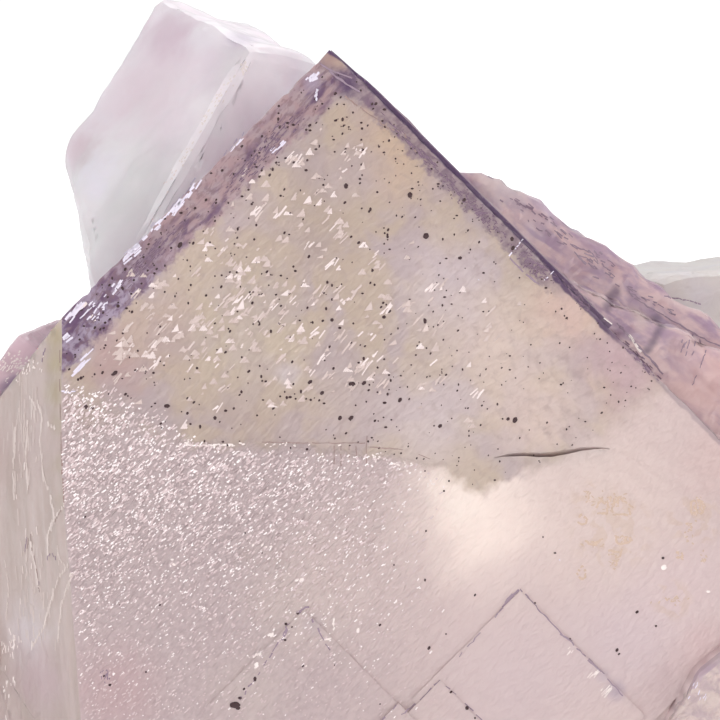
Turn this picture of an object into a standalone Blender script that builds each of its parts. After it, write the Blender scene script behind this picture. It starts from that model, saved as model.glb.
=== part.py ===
"""A fluorite crystal group with octahedral cleavage.

One large cube stands on an edge and turns a square face with one corner up to the front. Its left
corner is cleaved away on an octahedral plane. Smaller cubes, a pale broken block and a rough crust
have grown together with it, and the whole group is broken off flat below, where it rests.

Metres, +Z up, the front towards -Y. The origin is on the flat base, below the middle of the group.
"""

import math
import random
from collections import namedtuple

import bmesh
import bpy
from mathutils import Euler, Matrix, Vector, noise

# Lengths in the tables below are millimetres
MM = 0.001

# The large cube: how far it leans back, and where the middle of its front face stands
CUBE_EDGE = 44.0
LEAN_DEG = 10.0
FACE_CENTRE = (0.0, -18.0, 25.0)
# The cleaved left corner: two planes, each with a place (right, up) on its edge with the face and
# the edge's turn from upright. The lower one cuts in deeper.
CLEAVED_AT = (-16.75, 5.0)
CLEAVED_LOW_AT = (-16.85, 5.8)
CLEAVED_LOW_TURN_DEG = -4.5
# How deep a terrace is rooted in its crystal, besides its own height
ROOTING = 1.5

HALF = CUBE_EDGE / 2
ROOT_2 = math.sqrt(2.0)
ROOT_3 = math.sqrt(3.0)

# The face frame: x to the right, y into the crystal, z up the leaning face
FACE = Matrix.Translation(FACE_CENTRE) @ Matrix.Rotation(-math.radians(LEAN_DEG), 4, "X")
# The cube frame: x up to the right, z up to the left, both along the face's edges
CUBE = FACE @ Matrix.Rotation(-math.pi / 4, 4, "Y")

# Growth terraces on the front face: top corner (right, up), side lengths, height
FrontStep = namedtuple("FrontStep", "corner sides height")
FRONT_STEPS = (
    FrontStep((11.9, -2.7), (9.6, 11.0), 0.14),
    FrontStep((6.9, -8.3), (9.5, 9.0), 0.24),
    FrontStep((4.3, -9.7), (6.0, 6.0), 0.34),
    FrontStep((-1.6, -3.9), (9.0, 9.5), 0.10),
)

# Terraces on the large cube's four sides: from where and how far along the edge, from where and
# how far behind the face, height
SideStep = namedtuple("SideStep", "side start length behind reach height")
SIDE_STEPS = (
    SideStep("+x", -2.7, 24.6, 0.3, 11.0, 0.38),
    SideStep("+x", -21.0, 17.0, 7.0, 30.0, 0.45),
    SideStep("+x", -14.0, 20.0, 13.0, 20.0, 0.90),
    SideStep("+z", -16.0, 21.0, 9.0, 26.0, 0.40),
    SideStep("+z", -9.0, 12.0, 15.0, 27.0, 0.85),
    SideStep("-x", -14.0, 19.0, 6.0, 20.0, 0.50),
    SideStep("-x", -8.0, 13.0, 10.0, 24.0, 1.10),
    SideStep("-z", -2.0, 14.0, 0.25, 12.0, 0.80),
    SideStep("-z", -12.0, 28.0, 5.0, 24.0, 0.45),
    SideStep("-z", 0.0, 15.0, 9.0, 26.0, 1.00),
)

# The first of these runs out towards the top corner: where its slope ends, right and up in the
# cube frame, and the slope's outward direction
TOP_SLOPE_AT = (HALF + 0.1, 0.0, HALF - 0.1)
TOP_SLOPE_OUTWARD = (3.9, 0.0, 0.28)

# Ledges on the cleaved corner: how far behind the face the edge runs, height over the break
Ledge = namedtuple("Ledge", "behind height")
LEDGES = (Ledge(10.6, 0.24), Ledge(13.6, 0.45))
# The cleaved corner's break runs on into a neighbour below it: its box in the break's frame, and
# how far below the break it ends
BREAK_FOOT_BOX = ((-9.0, 4.6, -27.0), (1.0, 21.0, -6.5))
BREAK_FOOT_DEPTH = 0.15

# Crystals whose corner shows from the front, in the face frame: the corner, the direction along
# the first edge and near the second one, the three edge lengths, and the rounding
Corner = namedtuple("Corner", "name at along beside sizes rounding")
CORNER_CRYSTALS = (
    Corner("lilac_back", (4.4, 6.5, 28.2), (0.828, 0.0, -0.561), (0.0, 1.0, 0.0), (27, 29, 24), 0.3),
    Corner("lilac_front", (11.6, 3.0, 18.6), (0.905, 0.0, -0.425), (0.0, 1.0, 0.0), (19, 22, 16), 0.2),
    Corner("green_right", (23.4, 18.0, 17.6), (0.93, 0.36, 0.10), (-0.35, 0.93, 0.05), (19, 20, 21), 1.4),
    Corner("rose_left", (-21.3, 11.0, 13.5), (-0.63, 0.26, -0.78), (0.2, 0.96, 0.16), (15, 17, 18), 0.3),
)
# The breaks of the two upper blocks, in the face frame: a point of each break and its outward
# direction
Break = namedtuple("Break", "at outward")
LILAC_BREAKS = (Break((10.2, 6.5, 23.7), (0.12, 0.1, 0.98)),)
PALE_BLOCK_BOX = ((-26.0, 18.0, 10.0), (4.0, 48.0, 50.0))
PALE_BREAKS = (
    Break((-21.7, 34.0, 28.4), (-0.87, 0.05, 0.48)),
    Break((-13.2, 34.0, 39.9), (0.345, -0.2, 0.93)),
    Break((-21.2, 34.0, 26.8), (-0.97, -0.1, -0.22)),
    Break((-1.4, 32.0, 34.0), (0.90, 0.3, 0.28)),
    Break((-9.0, 23.0, 30.0), (-0.63, -0.6, 0.49)),
    Break((-9.0, 23.0, 30.0), (0.74, -0.62, -0.25)),
    Break((-12.0, 44.0, 30.0), (-0.30, 0.94, 0.10)),
)
PALE_ROUNDING = 0.9
# The crust's flat front, low at the right edge of the large face
CRUST_PLATE_BOX = ((13.0, -1.0, -21.0), (31.5, 13.0, -1.5))
CRUST_PLATE_BREAKS = (
    Break((22.9, -1.0, -7.7), (-0.88, -0.30, 0.43)),
    Break((22.9, -1.0, -7.7), (-0.62, -0.30, 0.76)),
    Break((27.5, -1.0, -9.0), (0.35, -0.90, 0.20)),
    Break((25.0, -1.0, -15.5), (-0.10, -0.86, -0.50)),
)
CRUST_PLATE_ROUNDING = 0.35

# Cubes around the foot and behind, placed by their middle in the group's own frame, with their
# turn about X, Y and Z in degrees
Grown = namedtuple("Grown", "centre edge turn_deg rounding")
GROWN_CUBES = (
    Grown((-23.0, 4.0, 9.0), 19.0, (28, 14, 20), 0.3),
    Grown((-31.0, 14.0, 7.0), 13.0, (50, -12, 42), 0.3),
    Grown((-13.0, -15.0, 4.0), 12.0, (38, 20, 8), 0.25),
    Grown((-20.0, -9.0, 3.0), 9.0, (12, 40, 30), 0.2),
    Grown((11.0, -17.0, 3.0), 9.0, (47, -8, 24), 0.2),
    Grown((25.0, -3.0, 8.0), 18.0, (36, -20, 12), 0.3),
    Grown((25.0, -10.5, 16.0), 8.0, (25, 20, 30), 0.2),
    Grown((34.0, 8.0, 6.0), 14.0, (18, 33, 40), 0.3),
    Grown((27.0, 22.0, 11.0), 22.0, (40, 12, -28), 0.35),
    Grown((10.0, 33.0, 16.0), 24.0, (35, -18, 50), 0.35),
    Grown((-10.0, 34.0, 12.0), 19.0, (20, 38, 12), 0.35),
    Grown((-23.0, 25.0, 12.0), 19.0, (44, 20, -16), 0.35),
    Grown((-3.5, 36.0, 26.0), 15.0, (30, 24, 35), 0.3),
    Grown((19.0, 31.0, 28.0), 12.0, (14, 41, 20), 0.3),
    Grown((0.0, 42.0, 5.0), 13.0, (25, 30, 60), 0.3),
)

# Rough lumps: centre in the group's own frame, radii, roughness, fineness and seed
Lump = namedtuple("Lump", "centre radii roughness fineness seed")
ROOT_LUMP = Lump((0.0, 14.0, 1.0), (33.0, 28.0, 15.0), 0.24, 4, 3.7)
# The crust at the lower right: a lump, with small crystals all over its front
CRUST_LUMP = Lump((30.2, -11.6, 8.0), (7.6, 9.0, 9.6), 0.3, 3, 11.2)
CRUST_CRYSTALS = 26
CRUST_EDGE = (3.0, 5.6)
CRUST_SEED = 3

# The open cleavage crack in the face: its ends (right, up), widest gap, wave and depth
CRACK_ENDS = ((10.3, 5.6), (17.5, 6.2))
CRACK_GAP = 0.30
CRACK_WAVE = 0.10
CRACK_DEPTH = 2.6
CRACK_POINTS = 9
# Shell-shaped chips out of corners and edges: centre in the face frame and radius
Chip = namedtuple("Chip", "centre radius")
CHIPS = (Chip((31.2, 0.5, -1.5), 2.6), Chip((27.0, 1.0, 30.0), 2.0))
# Far corners of the large cube that are cleaved off: the corner's signs and how far in
BACK_CLEAVAGES = (((1, 1, -1), 11.0), ((1, 1, 1), 6.0))

# What is under the flat base is cut off with a block of this width and depth
UNDER_BASE = (200.0, 60.0)

STONE_COLOUR = (0.56, 0.44, 0.43, 1.0)
STONE_ROUGHNESS = 0.22
STONE_IOR = 1.434


def clear_scene():
    """Removes what the startup scene holds."""
    for obj in list(bpy.data.objects):
        bpy.data.objects.remove(obj, do_unlink=True)


def new_collection(name, rendered):
    """A collection of the scene that is either rendered or only holds helpers."""
    collection = bpy.data.collections.new(name)
    bpy.context.scene.collection.children.link(collection)
    collection.hide_render = not rendered
    return collection


def add_object(name, bm, collection, rendered=False):
    """Makes an object of a bmesh in millimetres."""
    bmesh.ops.recalc_face_normals(bm, faces=bm.faces)
    bmesh.ops.scale(bm, verts=bm.verts, vec=(MM, MM, MM))
    mesh = bpy.data.meshes.new(name)
    bm.to_mesh(mesh)
    bm.free()
    obj = bpy.data.objects.new(name, mesh)
    collection.objects.link(obj)
    obj.hide_render = not rendered
    if not rendered:
        obj.display_type = "WIRE"
    return obj


def block(low, high, frame, rounding=0.0):
    """A box between two corners of a frame, with its edges rounded off."""
    size = Vector(high) - Vector(low)
    middle = (Vector(high) + Vector(low)) / 2
    place = frame @ Matrix.Translation(middle) @ Matrix.Diagonal((*size, 1.0))
    bm = bmesh.new()
    bmesh.ops.create_cube(bm, size=1.0, matrix=place)
    round_edges(bm, rounding)
    return bm


def round_edges(bm, rounding):
    """Rounds every edge of a closed mesh."""
    if rounding > 0:
        bmesh.ops.bevel(
            bm, geom=bm.edges, offset=rounding, segments=2, profile=0.5, affect="EDGES"
        )


def cleave(bm, point, outward):
    """Breaks off all of a closed mesh that lies outside a plane, and closes the break."""
    geometry = bm.verts[:] + bm.edges[:] + bm.faces[:]
    cut = bmesh.ops.bisect_plane(
        bm, geom=geometry, dist=1e-5, plane_co=point, plane_no=outward, clear_outer=True
    )
    rim = [part for part in cut["geom_cut"] if isinstance(part, bmesh.types.BMEdge)]
    if rim:
        bmesh.ops.contextual_create(bm, geom=rim)


def cleave_in_face_frame(bm, breaks):
    """Breaks a closed mesh along planes that are given in the face frame."""
    turn = FACE.to_3x3()
    for place in breaks:
        cleave(bm, FACE @ Vector(place.at), turn @ Vector(place.outward).normalized())


def cleaved_corner(height):
    """The two planes of the cleaved corner, moved out by a height."""
    outward = Vector((-ROOT_2, -1.0, 0.0)).normalized()
    low_outward = Matrix.Rotation(math.radians(CLEAVED_LOW_TURN_DEG), 3, "Y") @ outward
    for (right, up), direction in ((CLEAVED_AT, outward), (CLEAVED_LOW_AT, low_outward)):
        yield Break(Vector((right, 0.0, up)) + direction * height, direction)


def large_cube():
    """The large cube, with its left corner and two far corners cleaved away."""
    bm = block((-HALF, 0.0, -HALF), (HALF, CUBE_EDGE, HALF), CUBE)
    cleave_in_face_frame(bm, cleaved_corner(0.0))
    axes = CUBE.to_3x3()
    for signs, reach in BACK_CLEAVAGES:
        corner = Vector((signs[0] * HALF, CUBE_EDGE, signs[2] * HALF))
        diagonal = Vector(signs).normalized()
        cleave(bm, CUBE @ (corner - diagonal * reach / ROOT_3), axes @ diagonal)
    return bm


def front_step(step):
    """A thin square terrace on the front face, with one corner up."""
    right, up = step.corner
    top_x = (up + right) / ROOT_2
    top_z = (up - right) / ROOT_2
    low = (top_x - step.sides[0], -step.height, top_z - step.sides[1])
    return block(low, (top_x, ROOTING + step.height, top_z), CUBE)


def side_step(step):
    """A terrace on one of the large cube's four sides."""
    low_out, high_out = HALF - ROOTING - step.height, HALF + step.height
    if step.side.startswith("-"):
        low_out, high_out = -high_out, -low_out
    low_y, high_y = step.behind, step.behind + step.reach
    end = step.start + step.length
    if step.side.endswith("x"):
        return block((low_out, low_y, step.start), (high_out, high_y, end), CUBE)
    return block((step.start, low_y, low_out), (end, high_y, high_out), CUBE)


def sloped_side_step(step):
    """A terrace on a side that runs out in a slope towards the top corner."""
    bm = side_step(step)
    outward = CUBE.to_3x3() @ Vector(TOP_SLOPE_OUTWARD).normalized()
    cleave(bm, CUBE @ Vector(TOP_SLOPE_AT), outward)
    return bm


def break_frame():
    """The cleaved corner's frame: x outward, y backward, z up, from its edge with the face."""
    outward = Vector((-ROOT_2, -1.0, 0.0)).normalized()
    upward = Vector((0.0, 0.0, 1.0))
    turn = Matrix((outward, outward.cross(upward), upward)).transposed().to_4x4()
    return FACE @ Matrix.Translation((CLEAVED_AT[0], 0.0, 0.0)) @ turn


def ledge_block(ledge):
    """A ledge on the cleaved corner, which ends just inside the cube's other sides."""
    low = (-ROOTING - ledge.height, ledge.behind, -HALF)
    bm = block(low, (ledge.height, ledge.behind + HALF, HALF), break_frame())
    cleave_in_face_frame(bm, cleaved_corner(ledge.height))
    axes = CUBE.to_3x3()
    for side in (Vector((0, 0, 1)), Vector((-1, 0, 0))):
        cleave(bm, CUBE @ (side * (HALF - ledge.height / 10)), axes @ side)
    return bm


def corner_crystal(crystal):
    """A crystal that grows right and down, or left and down, from the corner that shows."""
    along = Vector(crystal.along).normalized()
    beside = Vector(crystal.beside)
    beside = (beside - along * along.dot(beside)).normalized()
    down = along.cross(beside)
    down = down if down.z < 0 else -down
    turn = Matrix((along, beside, down)).transposed().to_4x4()
    frame = FACE @ Matrix.Translation(crystal.at) @ turn
    return block((0.0, 0.0, 0.0), crystal.sizes, frame, crystal.rounding)


def grown_cube(cube):
    """A cube placed by its middle and its turn."""
    turn = Euler([math.radians(angle) for angle in cube.turn_deg]).to_matrix().to_4x4()
    half = cube.edge / 2
    frame = Matrix.Translation(cube.centre) @ turn
    return block((-half,) * 3, (half,) * 3, frame, cube.rounding)


def break_foot():
    """The neighbour below the cleaved corner, a little lower than its two planes."""
    bm = block(*BREAK_FOOT_BOX, break_frame())
    cleave_in_face_frame(bm, cleaved_corner(-BREAK_FOOT_DEPTH))
    return bm


def pale_block():
    """The pale block behind the upper left edge, broken on all sides."""
    bm = block(*PALE_BLOCK_BOX, FACE)
    cleave_in_face_frame(bm, PALE_BREAKS)
    round_edges(bm, PALE_ROUNDING)
    return bm


def crust_plate():
    """The flat broken front of the crust."""
    bm = block(*CRUST_PLATE_BOX, FACE)
    cleave_in_face_frame(bm, CRUST_PLATE_BREAKS)
    round_edges(bm, CRUST_PLATE_ROUNDING)
    return bm


def swell(direction, roughness, seed):
    """How far a rough lump's surface lies out in a direction, as a share of its radius."""
    place = direction * 1.6 + Vector((seed, seed, seed))
    steps = noise.cell(direction * 2.3 + Vector((seed, 0.0, seed)))
    return 1.0 + roughness * (noise.noise(place) + 0.35 * noise.noise(place * 2.7) + 0.3 * steps)


def rough_lump(lump):
    """A broken, rough lump."""
    bm = bmesh.new()
    bmesh.ops.create_icosphere(bm, subdivisions=lump.fineness, radius=1.0)
    for vert in bm.verts:
        out = swell(vert.co, lump.roughness, lump.seed)
        vert.co = Vector(lump.centre) + Vector(a * b * out for a, b in zip(vert.co, lump.radii))
    return bm


def crust_crystals():
    """Small crystals all over the crust, each turned its own way."""
    chance = random.Random(CRUST_SEED)
    for i in range(CRUST_CRYSTALS):
        share = (i + 0.5) / CRUST_CRYSTALS
        around = i * math.pi * (3.0 - math.sqrt(5.0))
        level = 1.0 - 1.7 * share
        ring = math.sqrt(max(0.0, 1.0 - level * level))
        direction = Vector((ring * math.cos(around), ring * math.sin(around), level))
        if direction.y > 0.3:
            continue
        middle = Vector(CRUST_LUMP.centre) + Vector(
            a * b * 0.82 for a, b in zip(direction, CRUST_LUMP.radii)
        )
        turn = [chance.uniform(0.0, 90.0) for _ in range(3)]
        yield Grown(middle, chance.uniform(*CRUST_EDGE), turn, 0.0)


def crack_slot():
    """The open crack: a lens-shaped slot that runs in along an octahedral plane."""
    first, last = (Vector((right, 0.0, up)) for right, up in CRACK_ENDS)
    inward = Vector((0.0, 1.0, -1.0 / ROOT_2)).normalized()
    upper, lower = [], []
    for i in range(CRACK_POINTS):
        share = i / (CRACK_POINTS - 1)
        middle = first.lerp(last, share)
        middle.z += CRACK_WAVE * math.sin(3.1 * math.pi * share)
        half_gap = 0.5 * CRACK_GAP * math.sin(math.pi * (0.03 + 0.94 * share)) ** 0.8
        upper.append(middle + Vector((0.0, 0.0, half_gap)))
        lower.append(middle - Vector((0.0, 0.0, half_gap)))
    bm = bmesh.new()
    outside = inward * ROOTING
    mouth = bm.faces.new([bm.verts.new(FACE @ (p - outside)) for p in upper + lower[::-1]])
    grown = bmesh.ops.extrude_face_region(bm, geom=[mouth])
    inner = [part for part in grown["geom"] if isinstance(part, bmesh.types.BMVert)]
    bmesh.ops.translate(bm, verts=inner, vec=FACE.to_3x3() @ inward * (CRACK_DEPTH + ROOTING))
    return bm


def chip_ball(chip):
    """A ball that takes a shell-shaped chip out of a corner."""
    bm = bmesh.new()
    place = Matrix.Translation(FACE @ Vector(chip.centre))
    bmesh.ops.create_icosphere(bm, subdivisions=3, radius=chip.radius, matrix=place)
    return bm


def stone_material():
    """Pale, faintly pink fluorite."""
    material = bpy.data.materials.new("fluorite")
    material.use_nodes = True
    shader = material.node_tree.nodes["Principled BSDF"]
    shader.inputs["Base Color"].default_value = STONE_COLOUR
    shader.inputs["Roughness"].default_value = STONE_ROUGHNESS
    shader.inputs["Metallic"].default_value = 0.0
    shader.inputs["IOR"].default_value = STONE_IOR
    return material


def add_growths(collection):
    """Everything that has grown together with the large cube."""
    for i, step in enumerate(FRONT_STEPS):
        add_object(f"front_step_{i}", front_step(step), collection)
    add_object("side_step_top", sloped_side_step(SIDE_STEPS[0]), collection)
    for i, step in enumerate(SIDE_STEPS[1:]):
        add_object(f"side_step_{i}", side_step(step), collection)
    for i, ledge in enumerate(LEDGES):
        add_object(f"ledge_{i}", ledge_block(ledge), collection)
    add_object("break_foot", break_foot(), collection)
    for crystal in CORNER_CRYSTALS:
        bm = corner_crystal(crystal)
        if crystal.name == "lilac_back":
            cleave_in_face_frame(bm, LILAC_BREAKS)
        add_object(crystal.name, bm, collection)
    add_object("pale_block", pale_block(), collection)
    for i, cube in enumerate(GROWN_CUBES):
        add_object(f"cube_{i}", grown_cube(cube), collection)
    add_object("root", rough_lump(ROOT_LUMP), collection)
    add_object("crust", rough_lump(CRUST_LUMP), collection)
    add_object("crust_plate", crust_plate(), collection)
    for i, cube in enumerate(crust_crystals()):
        add_object(f"crust_crystal_{i}", grown_cube(cube), collection)


def add_cutters(collection):
    """The crack, the chips, and the block that cuts the base flat."""
    add_object("crack", crack_slot(), collection)
    for i, chip in enumerate(CHIPS):
        add_object(f"chip_{i}", chip_ball(chip), collection)
    width, depth = UNDER_BASE
    low, high = (-width / 2, -width / 2, -depth), (width / 2, width / 2, 0.0)
    add_object("under_base", block(low, high, Matrix.Identity(4)), collection)


def combine(obj, collection, operation):
    """Joins an object with every helper of a collection, or cuts it with them."""
    boolean = obj.modifiers.new(operation.lower(), "BOOLEAN")
    boolean.operand_type = "COLLECTION"
    boolean.collection = collection
    boolean.operation = operation
    boolean.solver = "EXACT"


def main():
    """Builds the crystal group."""
    clear_scene()
    group = new_collection("fluorite_group", rendered=True)
    growths = new_collection("growths", rendered=False)
    cutters = new_collection("cutters", rendered=False)
    add_growths(growths)
    add_cutters(cutters)
    stone = add_object("fluorite_crystal_group", large_cube(), group, rendered=True)
    stone.data.materials.append(stone_material())
    combine(stone, growths, "UNION")
    combine(stone, cutters, "DIFFERENCE")


main()
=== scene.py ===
"""The fluorite crystal group: its skin, its marks, the light and the camera.

Lengths in the dataclasses are millimetres. Most places are given in the face frame: x to the
right, y into the large cube and z up its leaning front face, all from the middle of that face.
"""

from __future__ import annotations

import logging
import math
import random
from dataclasses import dataclass, field, replace
from enum import Enum
from typing import Any, Iterator

import bmesh
import bpy
from mathutils import Matrix, Vector, noise
from mathutils.bvhtree import BVHTree

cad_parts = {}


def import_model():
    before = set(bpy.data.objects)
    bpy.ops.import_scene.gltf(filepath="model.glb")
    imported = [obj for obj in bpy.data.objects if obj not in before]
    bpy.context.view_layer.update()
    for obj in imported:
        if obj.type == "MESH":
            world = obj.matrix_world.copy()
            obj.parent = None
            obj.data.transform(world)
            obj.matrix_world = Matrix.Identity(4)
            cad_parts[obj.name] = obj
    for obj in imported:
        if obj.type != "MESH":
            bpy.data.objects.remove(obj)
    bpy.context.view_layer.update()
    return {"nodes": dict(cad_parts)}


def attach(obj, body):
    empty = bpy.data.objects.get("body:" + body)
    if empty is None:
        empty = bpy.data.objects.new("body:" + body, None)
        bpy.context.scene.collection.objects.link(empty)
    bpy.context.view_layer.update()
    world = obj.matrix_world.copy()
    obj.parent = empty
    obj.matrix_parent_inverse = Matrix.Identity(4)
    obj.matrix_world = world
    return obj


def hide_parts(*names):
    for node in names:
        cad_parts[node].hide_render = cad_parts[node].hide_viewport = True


LOG = logging.getLogger("fluorite")

NODE = "fluorite_crystal_group"
MM = 0.001
ROOT_2 = math.sqrt(2.0)
UP = Vector((0.0, 0.0, 1.0))
WHITE = (1.0, 1.0, 1.0)
UNSTRETCHED = (1.0, 1.0, 1.0)

# The large cube, as in the part's source
HALF = 22.0
LEAN_DEG = 10.0
FACE_CENTRE = (0.0, -18.0, 25.0)
CLEAVED_AT = (-16.75, 5.0)
CLEAVED_LOW_AT = (-16.85, 5.8)
CLEAVED_LOW_TURN_DEG = -4.5
FACE = Matrix.Translation(FACE_CENTRE) @ Matrix.Rotation(-math.radians(LEAN_DEG), 4, "X")
FACE_INVERSE = FACE.inverted()
FACE_TURN = FACE.to_3x3()

Colour = tuple[float, float, float]
Point = tuple[float, float, float]
Span = tuple[float, float]


def paint(red: int, green: int, blue: int) -> Colour:
    """Turns a colour as a screen shows it into the linear one that a shader takes.

    Args:
        red: Red from 0 to 255.
        green: Green from 0 to 255.
        blue: Blue from 0 to 255.

    Returns:
        The linear colour.
    """
    shares = (red / 255, green / 255, blue / 255)
    return tuple(c / 12.92 if c <= 0.04045 else ((c + 0.055) / 1.055) ** 2.4 for c in shares)


CLEAVED_OUTWARD = Vector((-ROOT_2, -1.0, 0.0)).normalized()
CLEAVED_LOW_OUTWARD = (
    Matrix.Rotation(math.radians(CLEAVED_LOW_TURN_DEG), 3, "Y") @ CLEAVED_OUTWARD
)


def over_break(place: Vector) -> float:
    """Measures against the cleaved left corner's two planes.

    Args:
        place: A place of the face frame.

    Returns:
        How far the place lies outside of them.
    """
    upper = CLEAVED_OUTWARD.dot(place - Vector((CLEAVED_AT[0], 0.0, CLEAVED_AT[1])))
    lower = CLEAVED_LOW_OUTWARD.dot(place - Vector((CLEAVED_LOW_AT[0], 0.0, CLEAVED_LOW_AT[1])))
    return max(upper, lower)


@dataclass(frozen=True)
class Framing:
    """How the camera frames the front face."""

    width: float = 45.0
    pixels: int = 720
    lens: float = 100.0
    sensor: float = 36.0
    aim_right: float = 1.9
    aim_up: float = 11.7

    @property
    def distance(self) -> float:
        """How far the camera stands in front of the face."""
        return self.width * self.lens / self.sensor

    @property
    def eye(self) -> Vector:
        """Where the camera stands in the face frame."""
        return Vector((self.aim_right, -self.distance, self.aim_up))

    def seen(self, across: float, down: float, behind: float = 0.0) -> Vector:
        """Finds what shows at a place of the frame.

        Args:
            across: Pixels from the frame's left edge.
            down: Pixels from its top edge.
            behind: How far behind the front face to look.

        Returns:
            The place in the face frame.
        """
        middle = self.pixels / 2
        spread = self.width / self.pixels * (self.distance + behind) / self.distance
        right = self.aim_right + (across - middle) * spread
        return Vector((right, behind, self.aim_up + (middle - down) * spread))


FRAMING = Framing()


class Zone(Enum):
    """The parts of the group. Each value is the zone's material slot on the skin."""

    MAIN = 0
    BREAK = 1
    PALE = 2
    LILAC = 3
    GREEN = 4
    ROSE = 5
    CRUST = 6
    OUTER = 7


@dataclass(frozen=True)
class Boundary:
    """The line on the front face between the clear upper zone and the frosted lower one."""

    places: tuple[tuple[float, float], ...] = (
        (-18.0, 10.4),
        (-16.7, 10.1),
        (-8.1, 6.4),
        (3.1, 5.8),
        (6.9, 4.9),
        (9.4, 3.3),
        (11.9, 4.5),
        (14.4, 5.5),
        (19.4, 9.2),
        (23.2, 12.3),
        (31.0, 20.0),
    )

    def height(self, right: float) -> float:
        """Follows the line.

        Args:
            right: How far to the right on the face.

        Returns:
            How far up the face the line runs there.
        """
        for (x0, y0), (x1, y1) in zip(self.places, self.places[1:]):
            if x0 <= right <= x1:
                return y0 + (y1 - y0) * (right - x0) / (x1 - x0)
        return self.places[0][1] if right < 0 else self.places[-1][1]


BOUNDARY = Boundary()


class Tree:
    """Short ways to add and join the nodes of a material or a node group."""

    def __init__(self, tree: bpy.types.NodeTree) -> None:
        """Starts with an existing node tree."""
        self.tree = tree

    def add(self, kind: str, **settings: Any) -> bpy.types.Node:
        """Adds a node.

        Args:
            kind: The node's type without its ShaderNode prefix.
            settings: Properties to set on it.

        Returns:
            The node.
        """
        node = self.tree.nodes.new(kind if kind.startswith("Node") else "ShaderNode" + kind)
        for name, value in settings.items():
            setattr(node, name, value)
        return node

    def feed(self, socket: bpy.types.NodeSocket, value: Any) -> None:
        """Gives a socket its value.

        Args:
            socket: The socket.
            value: Another node's socket to link, or a number, a vector or a colour.
        """
        if isinstance(value, bpy.types.NodeSocket):
            self.tree.links.new(value, socket)
        elif isinstance(value, (int, float)):
            socket.default_value = value
        elif len(value) == 3 and socket.type == "RGBA":
            socket.default_value = (*value, 1.0)
        else:
            socket.default_value = tuple(value)

    def fill(self, node: bpy.types.Node, *inputs: Any) -> None:
        """Feeds a node's first inputs in order."""
        for socket, value in zip(node.inputs, inputs):
            self.feed(socket, value)

    def math(self, operation: str, *inputs: Any) -> bpy.types.NodeSocket:
        """Computes with numbers.

        Args:
            operation: What to compute.
            inputs: The numbers or their sockets.

        Returns:
            The result.
        """
        node = self.add("Math", operation=operation)
        self.fill(node, *inputs)
        return node.outputs[0]

    def plus(self, first: Any, second: Any) -> bpy.types.NodeSocket:
        """The sum of two numbers."""
        return self.math("ADD", first, second)

    def minus(self, first: Any, second: Any) -> bpy.types.NodeSocket:
        """The difference of two numbers."""
        return self.math("SUBTRACT", first, second)

    def times(self, first: Any, second: Any) -> bpy.types.NodeSocket:
        """The product of two numbers."""
        return self.math("MULTIPLY", first, second)

    def vector(self, operation: str, *inputs: Any) -> bpy.types.NodeSocket:
        """Computes with vectors.

        Args:
            operation: What to compute.
            inputs: The vectors. A scale comes last, as a number.

        Returns:
            The vector, or the number where the operation gives one.
        """
        node = self.add("VectorMath", operation=operation)
        if operation == "SCALE":
            self.feed(node.inputs["Scale"], inputs[1])
            inputs = inputs[:1]
        self.fill(node, *inputs)
        return node.outputs["Value" if operation == "DISTANCE" else "Vector"]

    def turned(self, place: Any, degrees: float) -> bpy.types.NodeSocket:
        """Turns a place in the picture's plane.

        Args:
            place: The place.
            degrees: How far x then runs up to the right.

        Returns:
            The turned place.
        """
        turn = self.add("Mapping")
        self.feed(turn.inputs["Vector"], place)
        self.feed(turn.inputs["Rotation"], (0.0, math.radians(degrees), 0.0))
        return turn.outputs[0]

    def noise(self, place: Any, scale: Any, detail: float, twist: float = 0.0) -> Any:
        """Adds cloudy noise.

        Args:
            place: The place in millimetres.
            scale: How many lumps there are to a millimetre.
            detail: How fine its finest lumps are.
            twist: How far it is distorted.

        Returns:
            The noise's outputs: a number from 0 to 1, and a colour.
        """
        node = self.add("TexNoise")
        named = {"Vector": place, "Scale": scale, "Detail": detail, "Distortion": twist}
        for name, value in named.items():
            self.feed(node.inputs[name], value)
        return node.outputs

    def step(self, value: Any, low: float, high: float) -> bpy.types.NodeSocket:
        """Rises smoothly from 0 to 1.

        Args:
            value: What is followed.
            low: Where the result is 0.
            high: Where it is 1, which may be the lower of the two.

        Returns:
            The result.
        """
        node = self.add("MapRange", interpolation_type="SMOOTHSTEP")
        ends = (high, low, 1.0, 0.0) if low > high else (low, high, 0.0, 1.0)
        self.fill(node, value, *ends)
        return node.outputs[0]

    def mix(self, mask: Any, first: Any, second: Any) -> bpy.types.NodeSocket:
        """Mixes two colours.

        Args:
            mask: The second colour's share.
            first: The first colour.
            second: The second colour.

        Returns:
            The mixed colour.
        """
        node = self.add("Mix", data_type="RGBA")
        for index, value in ((0, mask), (6, first), (7, second)):
            self.feed(node.inputs[index], value)
        return node.outputs[2]

    def join(self, x: Any, y: Any, z: Any) -> bpy.types.NodeSocket:
        """Makes a vector of three numbers.

        Args:
            x: The first number.
            y: The second one.
            z: The third one.

        Returns:
            The vector.
        """
        node = self.add("CombineXYZ")
        self.fill(node, x, y, z)
        return node.outputs[0]

    def split(self, vector: Any) -> Any:
        """Takes a vector apart.

        Args:
            vector: The vector.

        Returns:
            The sockets of its three numbers.
        """
        node = self.add("SeparateXYZ")
        self.feed(node.inputs[0], vector)
        return node.outputs

    def bump(self, height: Any, distance: float) -> bpy.types.NodeSocket:
        """Makes the surface uneven.

        Args:
            height: The height from 0 to 1.
            distance: The depth in millimetres.

        Returns:
            The bumped normal.
        """
        node = self.add("Bump")
        self.feed(node.inputs["Height"], height)
        self.feed(node.inputs["Distance"], distance * MM)
        return node.outputs[0]

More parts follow.
